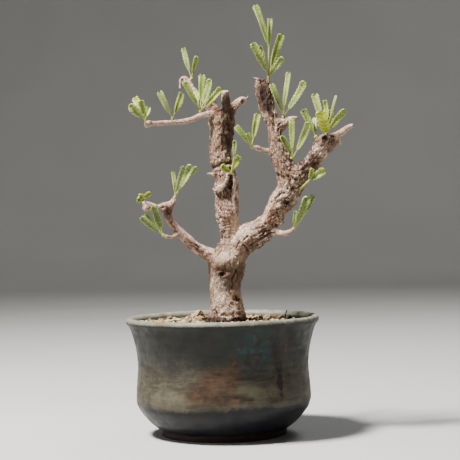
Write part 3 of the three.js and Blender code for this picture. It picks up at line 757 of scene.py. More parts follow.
# %% All stones at once
def stone_pattern():
    """The 26 surface points of a 3 by 3 by 3 block of points, and its 24 faces."""
    steps = np.array(list(np.ndindex(3, 3, 3))) - 1
    shell = steps[np.abs(steps).max(axis=1) == 1]
    number = {tuple(p): i for i, p in enumerate(shell.tolist())}
    faces = []
    for axis in range(3):
        u, v = (axis + 1) % 3, (axis + 2) % 3
        for side in (-1, 1):
            for i, j in np.ndindex(2, 2):
                square = [(i - 1, j - 1), (i, j - 1), (i, j), (i - 1, j)][::side]
                corners = []
                for p, q in square:
                    corner = [0, 0, 0]
                    corner[axis], corner[u], corner[v] = side, p, q
                    corners.append(number[tuple(corner)])
                faces.append(corners)
    return shell.astype(float), np.array(faces)


def random_turns(count, random):
    """One rotation matrix each, from random quaternions of length 1."""
    q = random.normal(size=(count, 4))
    w, x, y, z = (q / np.linalg.norm(q, axis=1, keepdims=True)).T
    rows = [
        [1 - 2 * (y * y + z * z), 2 * (x * y - w * z), 2 * (x * z + w * y)],
        [2 * (x * y + w * z), 1 - 2 * (x * x + z * z), 2 * (y * z - w * x)],
        [2 * (x * z - w * y), 2 * (y * z + w * x), 1 - 2 * (x * x + y * y)],
    ]
    return np.array(rows).transpose(2, 0, 1)


def stones(centres, sizes, random):
    """Points and faces of all stones: a rounded cube, pushed in and out, stretched, turned, placed."""
    shell, faces = stone_pattern()
    sphere = shell / np.linalg.norm(shell, axis=1, keepdims=True)
    form = 0.35 * shell + 0.65 * sphere
    count = len(centres)
    push = random.uniform(0.72, 1.12, (count, len(form), 1))
    stretch = random.uniform(0.75, 1.2, (count, 1, 3))
    points = np.einsum("nij,nkj->nki", random_turns(count, random), form * push * stretch)
    points = points * (sizes / 2)[:, None, None] + centres[:, None, :]
    all_faces = faces[None] + (np.arange(count) * len(form))[:, None, None]
    return points.reshape(-1, 3), all_faces.reshape(-1, 4), len(form)


print("a stone has", len(stone_pattern()[1]), "faces")

# %% Strewing the granules
soil_random = np.random.default_rng(7)
WALL_CLEAR = 52.6
TRUNK_CLEAR = 13.0
HIGHEST_STONE = 80


def strewn(pitch, shift, sizes, lift):
    """Granules on a staggered lattice of that pitch, each moved a little, inside the pot and clear of
    the trunk, with sizes drawn between two limits."""
    steps = np.arange(-60, 61)
    column, row = np.meshgrid(steps, steps)
    lattice = np.stack([(column + row / 2) * pitch, row * pitch * 0.866], axis=-1).reshape(-1, 2)
    lattice = lattice + soil_random.uniform(-shift, shift, lattice.shape)
    size = soil_random.uniform(*sizes, len(lattice))
    x, y = lattice.T
    size = size * (1 + 0.5 * np.exp(-((lattice - heap_at) ** 2).sum(axis=1) / 40))
    keep = (np.hypot(x, y) < WALL_CLEAR - size / 2) & (np.hypot(x - TRUNK_X, y) > TRUNK_CLEAR + size / 3)
    x, y, size = x[keep], y[keep], size[keep]
    return np.column_stack([x, y, soil_height(x, y) + lift * size]), size


layers = [
    strewn(2.8, 0.9, (1.9, 3.4), 0.12),
    strewn(2.5, 1.0, (0.9, 1.8), 0.32),
    strewn(6.4, 2.8, (2.4, 3.9), 0.45),
]
stone_centres = np.concatenate([centres for centres, size in layers])
stone_sizes = np.concatenate([size for centres, size in layers])
stone_points, stone_faces, points_each = stones(stone_centres, stone_sizes, soil_random)
stone_points[:, 2] = np.minimum(stone_points[:, 2], HIGHEST_STONE)
tone = np.repeat(soil_random.uniform(0, 1, len(stone_centres)), points_each)
damp = ramp(np.hypot(stone_points[:, 0] - TRUNK_X, stone_points[:, 1]), 17, 13.5)
print(f"{len(stone_centres)} granules, {len(stone_faces)} faces")

# %% Filling, granules and a small dead stick as one soil
FILLING_TONE = -1.0
STICK_TONE = 0.82
stick_points, stick_faces = tube([(39.6, 30, 66, 0.6), (40.2, 29.6, 70, 0.5), (41.2, 29.2, 73.8, 0.35)], 8)
before_stick = len(soil_points) + len(stone_points)
soil = make_piece(
    "soil_granules",
    np.concatenate([soil_points, stone_points, stick_points]),
    [*soil_faces, stone_faces + len(soil_points), *(part + before_stick for part in stick_faces)],
    {
        "tone": np.concatenate(
            [np.full(len(soil_points), FILLING_TONE), tone, np.full(len(stick_points), STICK_TONE)]
        ),
        "damp": np.concatenate([np.zeros(len(soil_points)), damp, np.zeros(len(stick_points))]),
    },
    flat=True,
)
print(f"soil: {len(soil.data.polygons)} faces")

# %% [markdown]
# Each granule carries one number, its tone, and the material turns that into a kind of stone: cream
# pumice, tan or ochre clay, grey-brown grit or dark humus. The filling has tone -1 and is painted dark,
# as painted shade in the gaps between granules. Round the trunk the mix is darker and crumblier.

# %% The soil's colours
def granules():
    """A colour per granule from a ramp of steps, mottled and pitted by noise."""
    material, tree, shader = new_material("soil_granules", Specular_IOR_Level=0.25)
    at = millimetres(tree)
    tone_value = mark_of(tree, "tone")
    ramp_node = add_node(tree, "ShaderNodeValToRGB", {"Fac": tone_value})
    ramp_node.color_ramp.interpolation = "CONSTANT"
    steps = [
        (0.0, rgb(106, 88, 64)), (0.13, rgb(158, 138, 106)), (0.34, rgb(188, 168, 134)),
        (0.52, rgb(128, 106, 78)), (0.66, rgb(202, 186, 154)), (0.8, rgb(66, 52, 40)),
        (0.88, rgb(136, 104, 74)), (0.96, rgb(44, 34, 27)),
    ]
    elements = ramp_node.color_ramp.elements
    elements.remove(elements[1])
    elements[0].position, elements[0].color = steps[0]
    for position, step_color in steps[1:]:
        elements.new(position).color = step_color
    plain = ramp_node.outputs["Color"]
    mottled = mixed(tree, cloud(tree, at, 1.2, 0.25, 0.75, 4), plain, rgb(124, 100, 72))
    color = mixed(tree, 0.55, plain, mottled)
    dark = mixed(tree, cloud(tree, at, 1.6, 0.3, 0.7), rgb(40, 28, 20), rgb(72, 50, 36))
    color = laid(tree, color, mark_of(tree, "damp"), 0.8, dark)
    # The filling takes the dark colour: painted shade in the gaps between granules.
    color = mixed(tree, step_up(tree, tone_value, -0.1, -0.6), color, dark)
    roughness = step_up(tree, cloud(tree, at, 2, 0.2, 0.8), -3.0, 1.4)
    wire(tree, shader, color, roughness, bump(tree, fine_noise(tree, at, 1.6, 5.0), 0.0006, 0.8))
    return material


dress(soil, "soil", granules(), "soil")

# %% [markdown]
# ## Trunk and branches
#
# The tree is one living body: a flared base, a trunk that forks, thick cut-back limbs, stubs and thin
# twigs. Each limb is a line of points with a radius. Most are the lines that the solid was built on,
# and some were moved or thickened by a millimetre or two. Tubes swept along them overlap at the
# forks, and a voxel remesh melts them into one skin, as wood grows together.

# %% The lines of the limbs
thick_limbs = {
    "trunk": [
        (3.2, 0, 71.4, 12.3), (3, 0, 76.4, 10.8), (2.5, 0, 82.6, 9.9), (1.9, 0, 88.8, 9.8),
        (2.4, 0, 95, 10.5), (3.3, 0, 101, 11.5), (3.8, 0, 106.5, 11.4), (5, 0, 112.5, 9.4),
        (5.8, 0, 118, 7),
    ],
    "upright": [
        (4.5, 0, 108, 8.5), (5.3, 0, 113.5, 7.7), (5.9, 0, 119.7, 6.4), (5.6, 0, 125.9, 6.5),
        (5.2, 0, 129.6, 6.9), (4.1, 0, 135.2, 7.6), (4.2, 0.5, 142.7, 7.6), (4, 1, 150, 7.7),
        (4.1, 2, 154.5, 7.1), (3.3, 2, 160.1, 7.1), (1.8, 3, 165.8, 7), (1.2, 3, 170.1, 6.8),
        (0.8, 4, 175.8, 7.2), (1.7, 4, 182, 7.3), (2.1, 5, 188.3, 8), (2, 5, 193.9, 8.7),
        (1.9, 5, 198.5, 8.2),
    ],
    "right_limb": [
        (4, 0, 106, 8.5), (11, -2, 115, 8.2), (18.1, -4, 121.4, 8), (24.9, -6, 126, 7.4),
        (30, -9, 131.6, 6.3), (33, -10, 136.4, 6.5), (36.1, -11, 140.6, 7.4), (39.2, -12, 144.8, 8.1),
        (42, -13, 149.6, 8.3), (43.6, -14, 154.5, 8.3), (44.2, -14, 158.7, 7.6),
    ],
    "middle_branch": [
        (43, -14, 154, 7.6), (40.5, -13, 163.1, 6.8), (38.5, -12, 168.1, 6.3), (37.4, -11, 171.8, 6.1),
        (35.7, -10, 177.4, 5.5), (34.5, -8, 183.7, 4.6), (34.2, -7, 188, 4.5), (32.8, -6, 193.7, 4.9),
        (30.5, -4, 199.4, 5.3), (29.3, -3, 204.4, 5.5), (28.4, -2, 209.5, 5.4), (28, -1, 214.5, 5),
        (28, -1, 217.6, 4.6),
    ],
    "right_branch": [
        (45, -14, 154, 7.6), (51.6, -15, 161, 6.5), (56.6, -17, 165.9, 5.4), (58.9, -18, 169.2, 5.5),
        (61, -19, 172.1, 5.7), (63.1, -20, 175.4, 6.1), (64.9, -21, 178.3, 6.1), (65.6, -21, 181, 4.8),
    ],
    "root": [(3, 0, 44, 8), (3, 0, 52, 11), (3, 0, 60, 12.1), (3, 0, 72, 12.1)],
}
thin_limbs = {
    "left_branch": [
        (2, 0, 105, 8), (-5.6, -2, 110.1, 5.4), (-12.9, -4, 114, 3.8), (-18.9, -7, 118.8, 3.5),
        (-24.8, -9, 125, 3.1), (-28.4, -10, 129.1, 2.9), (-31.4, -11, 134.1, 2.9), (-32, -11, 137.6, 3),
    ],
    "left_upper_stub": [(-31.9, -11, 135.9, 2.5), (-30.5, -11, 141.4, 2.2), (-27.7, -10, 145, 2.1)],
    "left_end_twig": [
        (-31.8, -11, 137.1, 2.4), (-34.8, -12, 139.9, 2.1), (-39.6, -14, 140.9, 2), (-43.1, -15, 141.9, 2.4),
        (-45.8, -16, 142.2, 1.9),
    ],
    "left_low_twig": [
        (-25, -9, 124.9, 1.9), (-27.8, -12, 123, 1.4), (-30.8, -14, 122.2, 1.3), (-33.5, -15, 123.1, 1.6),
    ],
    "front_stub": [(3.6, 4, 192, 6), (5.2, 1, 199.1, 3.9), (5, -1, 205.7, 3.2), (4.5, -2, 211.6, 2.6)],
    "right_stub": [(5, 5, 196, 5), (9.9, 7, 202.9, 2.9), (13.6, 8, 206, 2.5), (16.2, 9, 207.4, 2.2)],
    "right_spur": [(15.4, 9, 206.6, 1.4), (18.2, 8.8, 208, 0.9), (19.3, 8.8, 210.2, 0.6)],
    "back_stub": [(0, 7, 195, 6), (-5, 9.5, 204.5, 4)],
    "long_twig": [
        (2.4, 2, 198.5, 3.6), (-1.9, 0, 198.7, 2.5), (-6.9, -1, 197.9, 1.9), (-11.2, -2, 196.7, 1.9),
        (-15.6, -3, 194.7, 1.9), (-20.5, -5, 193.3, 1.8), (-28.4, -7, 192.8, 1.7), (-35.7, -9, 192.2, 1.7),
        (-41.7, -11, 191.8, 1.7), (-44.7, -12, 190.6, 1.7),
    ],
    "hooked_twig": [
        (-3.5, 9.5, 202, 2.8), (-9.8, 12, 208.4, 1.8), (-15.2, 14, 214.8, 1.5), (-18, 15, 219.2, 1.7),
        (-20.9, 16, 222.2, 1.6), (-22.9, 16, 221, 1.5), (-23.5, 15.8, 218.4, 1.1), (-23.8, 15.4, 215.6, 1.2),
    ],
    "right_low_twig": [
        (31, -8, 128.5, 3.6), (35.1, -12, 123.9, 2.3), (38.3, -13.6, 123.1, 2.0), (41.3, -15, 123.7, 1.7),
        (43.5, -16, 124.9, 1.6),
    ],
    "middle_twig": [
        (36.4, -10.5, 172, 3), (31.2, -13, 172.9, 1.8), (26.3, -15, 174.3, 1.6), (21.7, -17, 176, 1.6),
    ],
    "middle_knob": [(35.5, -7, 187, 3.8), (40.7, -9, 191, 3.6)],
    "middle_hook": [(41, -9, 189.8, 2.6), (43.9, -11, 193, 1.7), (48.5, -13, 193.7, 1.2)],
    "middle_spur": [(29.6, -2, 212.5, 2.8), (31.4, -3, 218, 1.5)],
    "middle_tendril": [(27.5, 0, 214.9, 1.5), (25.1, 1, 219, 0.9), (21.6, 2, 220.6, 0.6)],
    "end_stub": [
        (65, -20.5, 178.5, 4), (71.6, -22, 181.9, 2.5), (75.2, -23, 184, 2.2), (78.1, -24, 186.2, 1.8),
        (81.1, -25, 187.5, 1.3),
    ],
    "end_lobe": [(67, -20, 177.8, 4.2), (73.4, -19, 178.7, 2.7)],
    "left_ridge": [
        (-2.6, -2.4, 149.8, 1.9), (-0.4, -5, 151.2, 2), (2.6, -6, 153.6, 1.8), (4.6, -5.8, 157, 1.5),
        (5.2, -5, 160, 1.2),
    ],
    "right_ridge": [
        (8.2, -4, 160, 1.3), (9, -4.4, 155, 1.6), (9, -4.4, 151, 1.5), (10.2, -2.6, 147, 1.5),
        (10.4, -1.4, 143, 1.2),
    ],
    "splinter": [(-2, 0, 160.4, 1.1), (-8.6, -1, 161.2, 0.6)],
}
limbs = {**thick_limbs, **thin_limbs}
print(len(limbs), "limbs")

# %% [markdown]
# Where a limb was cut or a bud broke, the wood swelled: balls are melted in there, and a row of them
# gives the right limb its sagging underside. Small hollows are bored where the photograph shows dark
# holes: the knot hole under the brow, the pits of the burl, and the rotted ends of two limbs and a twig.

# %% Knobs, swellings and hollows
lumps = [
    ((16.5, -4.5, 124.4), 6, (1, 1, 1)), ((46, -13, 157.5), 7, (1, 1, 1)), ((-3, -4, 73), 5, (1, 1, 2.2)),
    ((6, -6.5, 71.5), 5, (1, 1, 1.7)), ((9.8, 1, 71), 4.8, (1, 1, 1.8)), ((4, 6.8, 73), 5, (1, 1, 2.1)),
    ((-32.5, -11.2, 140.6), 3.8, (1.15, 1, 0.9)), ((-44.8, -15.6, 140.4), 2.7, (1, 1, 1)),
    ((37.8, -8, 189.6), 4.3, (1, 1, 1)), ((24, -15.8, 175.2), 2.0, (1.2, 1, 1)),
    ((-42.6, -11.3, 192.6), 2.2, (1.2, 1, 0.9)), ((-46, -16.4, 143.6), 1.7, (1, 1, 1)),
    ((-30.2, -11.2, 141.6), 2.5, (0.9, 1, 1.1)), ((29.6, -13.4, 173.6), 2.1, (1, 1, 1)),
    ((-20.2, 15.6, 220.2), 1.9, (1.1, 1, 0.9)), ((6.6, -5.4, 150.6), 1.5, (1, 1, 1)),
    ((-3.6, 9, 205), 3.5, (1, 1, 1)), ((-34, -13.2, 141), 3, (1, 1, 1)),
    ((17, -3, 116), 4.8, (1, 1, 1)), ((22, -5, 118.5), 5, (1, 1, 1)), ((27, -7.5, 122.4), 5.1, (1, 1, 1)),
    ((31.5, -9.5, 126.2), 4.8, (1, 1, 1)), ((35.4, -10.5, 132.2), 4.2, (1, 1, 1)),
]
hollows = [
    [(-1.2, -14.5, 99.1, 1.3), (-0.9, -11, 99, 1.2), (-0.2, -9, 98.6, 0.7)],
    [(0.6, -14.5, 99.4, 0.95), (0.6, -11, 99.3, 0.9), (0.5, -9.2, 98.6, 0.6)],
    [(2.2, -14.5, 99.8, 0.7), (1.9, -12, 99.7, 0.65), (1.3, -10, 99.1, 0.5)],
    [(39.6, -23, 142.3, 1.3), (39.8, -19, 142, 1.2), (40, -17, 141.7, 0.7)],
    [(41.5, -23, 141.8, 1.1), (41.3, -19, 141.6, 1.0), (41, -17.2, 141.3, 0.6)],
    [(27.0, -3, 224, 2.7), (27.4, -2.6, 218, 2.6), (28, -2, 211, 1.5)],
    [(26.6, -9.1, 219, 2.6), (27.6, -8.6, 211, 2.5), (28.8, -9.2, 204, 1.6)],
    [(30.2, -9.7, 206, 1.5), (31, -9.5, 201, 1.5), (32.4, -10, 196, 1.0)],
    [(-22.9, 8, 221.6, 0.6), (-22.4, 15, 221.1, 0.6)],
    [(62.9, -31, 182.2, 2.5), (63.6, -27.5, 181.2, 2.3), (64.4, -24.4, 179.8, 1.2)],
    [(63.9, -31, 179.8, 2.5), (64.4, -27.5, 178.9, 2.3), (65, -24.4, 178, 1.2)],
]
print(len(lumps), "lumps,", len(hollows), "hollows")

# %% The parts that melt together
parts = [tube(line) for line in limbs.values()]
parts += [ball(*lump) for lump in lumps]
wood_points, wood_faces = gather(parts)
print(f"raw limbs: {len(wood_points)} points")

# %% [markdown]
# The skin is remade as a fine even mesh, the hollows are cut into it, and it is remade and smoothed
# again, so that the forks run into each other as wood does. Modifiers do this work, and the result
# is read back as a plain mesh that numpy can shape further.

# %% One skin
VOXEL = 0.56
BORER_VOXEL = 0.4
core = make_piece("core", wood_points, wood_faces)
borer_parts = []
for line in hollows:
    bored, bored_faces = tube(line, sides=20, dome=0.5, spacing=0.8)
    uneven = 0.8 * np.stack([noise(bored, 1.9, seed) for seed in (181, 182, 183)], axis=1)
    borer_parts.append((bored + uneven, bored_faces))
borer = make_piece("borer", *gather(borer_parts))
fused = borer.modifiers.new("one borer", "REMESH")
fused.mode, fused.voxel_size = "VOXEL", BORER_VOXEL * MM
first = core.modifiers.new("first skin", "REMESH")
first.mode, first.voxel_size = "VOXEL", VOXEL * 1.3 * MM
cut = core.modifiers.new("hollows", "BOOLEAN")
cut.operation, cut.object, cut.solver = "DIFFERENCE", borer, "EXACT"
second = core.modifiers.new("second skin", "REMESH")
second.mode, second.voxel_size = "VOXEL", VOXEL * MM
ease = core.modifiers.new("ease", "SMOOTH")
ease.factor, ease.iterations = 0.5, 3
bpy.context.view_layer.update()
evaluated = core.evaluated_get(bpy.context.evaluated_depsgraph_get())
skin = bpy.data.meshes.new_from_object(evaluated)
print(f"skin: {len(skin.vertices)} points, {len(skin.polygons)} faces")

# %% Reading the skin into arrays
skin_points = np.empty(len(skin.vertices) * 3)
skin.vertices.foreach_get("co", skin_points)
skin_points = (skin_points.reshape(-1, 3) - pot_axis) / MM
skin_normals = np.empty(len(skin.vertices) * 3)
skin.vertices.foreach_get("normal", skin_normals)
skin_normals = skin_normals.reshape(-1, 3)
skin_edges = np.empty(len(skin.edges) * 2, int)
skin.edges.foreach_get("vertices", skin_edges)
skin_edges = skin_edges.reshape(-1, 2)
for spare in (core, borer):
    bpy.data.objects.remove(spare)
print(f"from {skin_points.min(axis=0).round(1)} to {skin_points.max(axis=0).round(1)}")

# %% [markdown]
# Bark knows the way its limb grows: furrows run along it and rings run round it. So each point of the
# skin finds its nearest limb, how far along it lies, and which way it faces. With those three numbers
# a pattern can be laid on the limb like paper on a rolling pin.

# %% Where each point lies on its limb
def limb_samples():
    """Points every millimetre on all limbs: centre, radius, frame, run along the limb, limb's number."""
    rows = []
    for number, line in enumerate(limbs.values()):
        length = np.linalg.norm(np.diff(np.asarray(line)[:, :3], axis=0), axis=1).sum()
        centres = evenly(line, max(4, int(length)))
        along, side, across = frames(centres[:, :3])
        run = np.linspace(0, length, len(centres))[:, None]
        rows.append(np.hstack([centres, along, side, across, run, np.full_like(run, number)]))
    return np.concatenate(rows)


def on_limb(points, samples):
    """For each point the row of the sample whose bark is nearest: distance to the centre less the
    radius, in batches to spare memory."""
    centres, radii = samples[None, :, :3].astype(np.float32), samples[None, :, 3].astype(np.float32)
    picks = [
        np.argmin(np.linalg.norm(batch[:, None].astype(np.float32) - centres, axis=2) - radii, axis=1)
        for batch in np.array_split(points, 40)
    ]
    return samples[np.concatenate(picks)]


nearest = on_limb(skin_points, limb_samples())
offset = skin_points - nearest[:, :3]
limb_radius = nearest[:, 3]
run_along = nearest[:, 13] + (offset * nearest[:, 4:7]).sum(axis=1)
facing = np.arctan2((offset * nearest[:, 10:13]).sum(axis=1), (offset * nearest[:, 7:10]).sum(axis=1))
limb_number = nearest[:, 14]
print(f"radii {limb_radius.min():.1f} to {limb_radius.max():.1f} mm")

# %% [markdown]
# Bark differs from place to place: bare and smooth on the lower trunk, ringed on the lower half of the
# upright limb, scaly where it is oldest, dark near the cut tops, where weathered wood and painted shade
# make one mask, and young on thin twigs.
# Each kind is a soft mask over part of the tree, with 0 where it is absent and 1 where it is full.

# %% Where each kind of bark lies
def capped(values):
    """The values kept between 0 and 1."""
    return np.clip(values, 0, 1)


def near(x, z, width, tall, front=True):
    """exp(-d^2) round a place seen from the front, on the front half of the limb alone."""
    d = np.hypot((skin_points[:, 0] - x) / width, (skin_points[:, 2] - z) / tall)
    mask = np.exp(-(d**2))
    return mask * ramp(-skin_normals[:, 1], -0.1, 0.35) if front else mask


def patches(*places):
    """Soft patches of the front added up, each (x, z, width, height, strength)."""
    return sum(strength * near(*where) for *where, strength in places)


def bands(*places):
    """Soft patches that go right round the limb added up, each (x, z, width, height, strength)."""
    return sum(strength * near(*where, front=False) for *where, strength in places)


def is_limb(*names):
    """Whether each point lies on one of the named limbs."""
    return np.isin(limb_number, [list(limbs).index(name) for name in names])


from_bore = np.full(len(skin_points), 9.0)
for *centre, size in np.concatenate([evenly(line, 24) for line in hollows]):
    from_bore = np.minimum(from_bore, np.linalg.norm(skin_points - centre, axis=1) - size)
in_hollow = 1 - ramp(from_bore, 0.1, 0.8)
bark_fold = is_limb("left_ridge", "right_ridge")
on_left_branch = is_limb("left_branch")
old = np.where(bark_fold, 0.8, ramp(limb_radius, 1.9, 4.2) * np.where(on_left_branch, 0.55, 1))
furrowed = 0.3 + 0.7 * capped(bands((26, 119, 13, 6, 0.5), (31, 203, 7, 16, 1)))
ringed = bands((6, 131, 9, 13, 1), (4, 118, 10, 8, 0.4))
warty = capped(bands((45, 156, 9, 7, 1), (0, 171.5, 10, 4.5, 1), (38, 141, 8, 8, 0.7), (6, 76, 14, 6, 0.8)))
calm = 1 - 0.75 * capped(ringed + patches((10, 118, 8, 8, 1), (28, 122, 8, 5, 1)))
smooth_base = bands((2, 92, 13, 15, 1))
scaly = capped(0.2 + bands((38, 139, 11, 9, 1), (50, 163, 12, 10, 1), (-1, 128, 4, 16, 1)))
scaly = scaly * (1 - 0.8 * bands((33, 188, 9, 24, 1))) * (1 - 0.8 * smooth_base)
limb_top = capped(patches((25.5, 134, 4, 5, 1), (29.5, 141, 3.5, 5, 1)))
upright_face = patches((7.5, 128, 4.5, 13, 1))
upright_side = bands((10.5, 128, 4, 14, 1)) * ramp(skin_normals[:, 0], -0.2, 0.4)
smooth = capped(smooth_base + patches((4, 109, 10, 6, 0.5)) + 0.8 * limb_top + 0.6 * upright_face)
smooth = capped(smooth + 0.5 * upright_side)
# Weathered wood and painted shade: the shaded fronts of the upright's top, of the middle branch's top and of
# the front stub are darkened.
weathered_and_shade = capped(patches((5, 185, 5.5, 16, 1), (28.2, 207, 5.4, 9, 1.7), (5.2, 203, 4, 6.5, 1.3)))
striped = capped(bands((24, 115, 11, 5, 0.3), (33, 192, 8, 24, 0.6), (-14, 113, 12, 6, 0.35)))
striped = striped * ramp(limb_radius, 1.9, 3.2)
print(f"old bark on {100 * (old > 0.5).mean():.0f}% of the skin")

# %% [markdown]
# The bark's relief is a sum of simple layers. Broad lumps come from old cuts and healed wounds, fine
# wrinkles part the skin into long cells that follow the limb, and furrows and stripes run along it.
# Scales lift off old bark, rings cross the upright limb, and thin twigs only have faint knuckles.

# %% The bark's relief
RING_STEP = 2.0
STRIPE_STEP = 1.8
KNUCKLE_STEP = 2.7


def rolled(stretch):
    """The pattern's own space: a cylinder of the limb's radius, with the run along it times stretch,
    so that below 1 a pattern is drawn out along the limb, and above 1 across it."""
    girth = np.maximum(limb_radius, 1.5)
    run = run_along * stretch + 57 * limb_number
    return np.stack([girth * np.cos(facing), girth * np.sin(facing), run], axis=1)


def warped(points, amount, size, seed):
    """The points pushed about by three noises of that size, so that a pattern runs unevenly."""
    return points + amount * np.stack([noise(skin_points, size, seed + k) for k in range(3)], axis=1)


def gaps(points, size, seed, wide):
    """1 on the borders of scattered cells, falling to 0 at a share wide of their size inside."""
    return 1 - ramp(cell_edges(points, size, seed), 0.02, wide)


wrinkle = gaps(warped(rolled(0.42), 0.8, 3.2, 220), 2.2, 221, 0.34)
furrow = 1 - ramp(np.abs(layered(warped(rolled(0.2), 0.9, 5, 200), 3.2, 2, 205)), 0.0, 0.2)
broad = layered(skin_points, 9, 2, 240)
lumpy = layered(warped(rolled(0.8), 1.0, 4, 245), 3.6, 2, 246)
ring_wave = np.sin(2 * np.pi * (run_along + 0.7 * noise(skin_points, 4, 250)) / RING_STEP)
warts = ramp(noise(skin_points, 2.1, 260), 0.05, 0.65)
scale_place = warped(rolled(0.7), 1.4, 4.0, 280)
scale_gap = gaps(scale_place, 3.6, 281, 0.3)
scale_lift = layered(scale_place, 3.0, 2, 285)
girth_run = limb_radius * facing + 1.2 * noise(skin_points, 4, 291)
stripes = ramp(np.sin(2 * np.pi * girth_run / STRIPE_STEP), 0.3, 0.95)
stripes = stripes * ramp(noise(rolled(0.35), 3.5, 292), -0.5, 0.1)
collar_grain = noise(skin_points, 1.3, 352)
bend_lines = (1 - np.abs(np.sin(np.pi * (run_along + 0.8 * noise(skin_points, 5, 275)) / KNUCKLE_STEP))) ** 3

# Each layer's factor is its height or depth in millimetres.
relief = 0.45 * old * broad + 0.22 * old * layered(skin_points, 1.7, 2, 255)
relief += 0.4 * old * lumpy * (1 - np.clip(0.4 * ringed + 0.5 * smooth_base, 0, 0.7))
relief += -0.65 * old * wrinkle * calm * (1 - 0.65 * smooth)
relief += -0.95 * old * furrow * furrowed * (1 - 0.6 * smooth_base)
relief += -0.6 * striped * stripes
relief += bands((0, 171.5, 9, 4.5, 0.45)) * collar_grain
relief += scaly * old * (0.45 * scale_lift - 0.75 * scale_gap)
relief += 0.24 * ringed * ring_wave + 0.95 * warts * warty
relief += (1 - old) * (0.12 * layered(rolled(0.6), 3, 2, 270) - 0.28 * bend_lines)
print(f"relief from {relief.min():.2f} to {relief.max():.2f} mm")

# %% [markdown]
# Some marks are this tree's own: the brow where the trunk forks, with a knot hole in its shade, a
# split scar down the right of the trunk with a small boss under it, the healed wound halfway up the
# upright limb with its two rolled lips, the rough collar above it, folds and slits in the swelling of
# the right limb, the burl, and round eyelets left by shed twigs. Each is a narrow mask at its own place.

# %% The tree's own marks
unrest = 0.75 * np.stack([noise(skin_points, 2.1, 340), noise(skin_points, 2.1, 341)], axis=1)


def crack(path, width, depth, wander=1.0):
    """A cut along a line of (x, z) corners seen from the front: depth times exp(-d^2), where d is the
    distance to the nearest stretch of the line over the width. The line wanders by a share of unrest."""
    seen_from_front = skin_points[:, [0, 2]] + wander * unrest
    best = np.full(len(skin_points), 1e9)
    for start, end in zip(np.array(path[:-1], float), np.array(path[1:], float)):
        way = end - start
        share = np.clip(((seen_from_front - start) @ way) / (way @ way), 0, 1)
        best = np.minimum(best, np.linalg.norm(seen_from_front - start - share[:, None] * way, axis=1))
    return depth * np.exp(-((best / width) ** 2)) * ramp(-skin_normals[:, 1], -0.05, 0.3)


x_seen, z_seen = skin_points[:, 0], skin_points[:, 2]
facing_front = ramp(-skin_normals[:, 1], -0.1, 0.3)
on_thick_limb = limb_radius > 2.5
lip_height = np.interp(x_seen, [-4.7, 2.8, 5.4, 6.6, 8.2], [149.6, 152.2, 155.4, 159.4, 159.4])
wound = ramp(lip_height - z_seen, 0, 1.3) * ramp(z_seen, 140.5, 147.5) * ramp(9.2 - x_seen, 0, 1.4)
wound = wound * ramp(x_seen + 3.6, 0, 2.6) * facing_front * (z_seen < 162) * on_thick_limb
flap = np.exp(-(((z_seen - lip_height - 1) / 4) ** 2)) * ramp(z_seen - lip_height, -0.6, 0.6)
flap = flap * ramp(7 - x_seen, 0, 2) * facing_front * ~bark_fold * on_thick_limb


def lines_of(*rows):
    """Cuts added up, each (width, depth, share of unrest, corners)."""
    return sum(crack(path, width, depth, wander) for width, depth, wander, path in rows)


trunk_cracks = lines_of(
    (0.6, 1.0, 1, [(9.6, 101.6), (7.8, 98), (6.6, 94.6), (7.3, 92.6)]),
    (0.55, 0.8, 1, [(9.8, 101), (10.3, 98.4), (9.1, 95), (7.6, 92.4)]),
    (0.7, 0.9, 1, [(6.9, 91.4), (5.2, 88.6), (5.7, 86.4)]),
    (0.9, 0.9, 1, [(8.8, 85.4), (11.2, 82.6)]),
    (0.9, 0.6, 1, [(-4, 75), (4, 73.6), (12, 75)]),
)
swelling_cracks = lines_of(
    (0.5, 0.5, 1, [(3.2, 122), (4, 117), (5.4, 112)]),
    (0.5, 0.8, 1, [(11.8, 119.7), (11.2, 117.2), (9.9, 115.1)]),
    (0.6, 1.0, 1, [(12.4, 118.4), (13.6, 117.1), (14.8, 115.3), (16.6, 113.8), (17.2, 111.1)]),
    (0.55, 1.3, 0.4, [(14, 119.8), (15.2, 121.2), (17, 121.9)]),
    (1.2, 0.35, 1, [(8.6, 113), (12, 113.3), (15.4, 112.8)]),
    (0.5, 1.3, 0.3, [(23.5, 123.1), (25.4, 124.9), (26.6, 125.8), (28.2, 126.3)]),
    (0.5, 1.3, 0.3, [(24.1, 121.6), (26, 123.1), (27.2, 124.3), (29.4, 125)]),
    (0.5, 1.3, 0.3, [(24, 119.7), (25.9, 120.9), (27.7, 122.1), (30.2, 123), (33.2, 123.8)]),
)
upper_cracks = lines_of(
    (0.65, 2.0, 0.4, [(7.2, 160), (7.2, 156), (6.6, 152.4)]),
    (1.1, 0.85, 1.4, [(-5, 165), (-1, 165.6), (4, 167.4), (8, 168.9)]),
    (0.9, 1.0, 1, [(44, 150.4), (49, 150.2), (53, 150)]),
    (0.6, 0.7, 1, [(28, 140.6), (33, 143.4), (37, 143.6)]),
    (0.9, 0.9, 1, [(48, 168), (52, 160), (57, 158)]),
    (0.45, 0.8, 1, [(33.5, 145), (37.6, 148.2), (42.8, 147.2)]),
    (0.4, 0.6, 1, [(35, 142.2), (38.4, 144.8), (43, 143.8)]),
)
fork_crack = lines_of((1.2, 1.6, 1, [(32, 158.6), (38, 158), (44, 156.4)]))
left_cracks = lines_of(
    (0.5, 0.9, 1, [(-30.2, 131.5), (-26.2, 125)]),
    (0.45, 1.0, 0.2, [(-14.9, 117.6), (-12.8, 115.2)]),
    (0.45, 1.0, 0.2, [(-18.1, 117), (-13.8, 114.2)]),
    (0.4, 0.8, 0.2, [(-19.9, 120), (-18.1, 118.1)]),
    (0.5, 1.0, 0.2, [(-31.4, 127.9), (-28.2, 125)]),
)
cracks = trunk_cracks + swelling_cracks + upper_cracks + left_cracks
cracks = cracks + fork_crack * ramp(noise(skin_points, 1.4, 353), -0.3, 0.2)
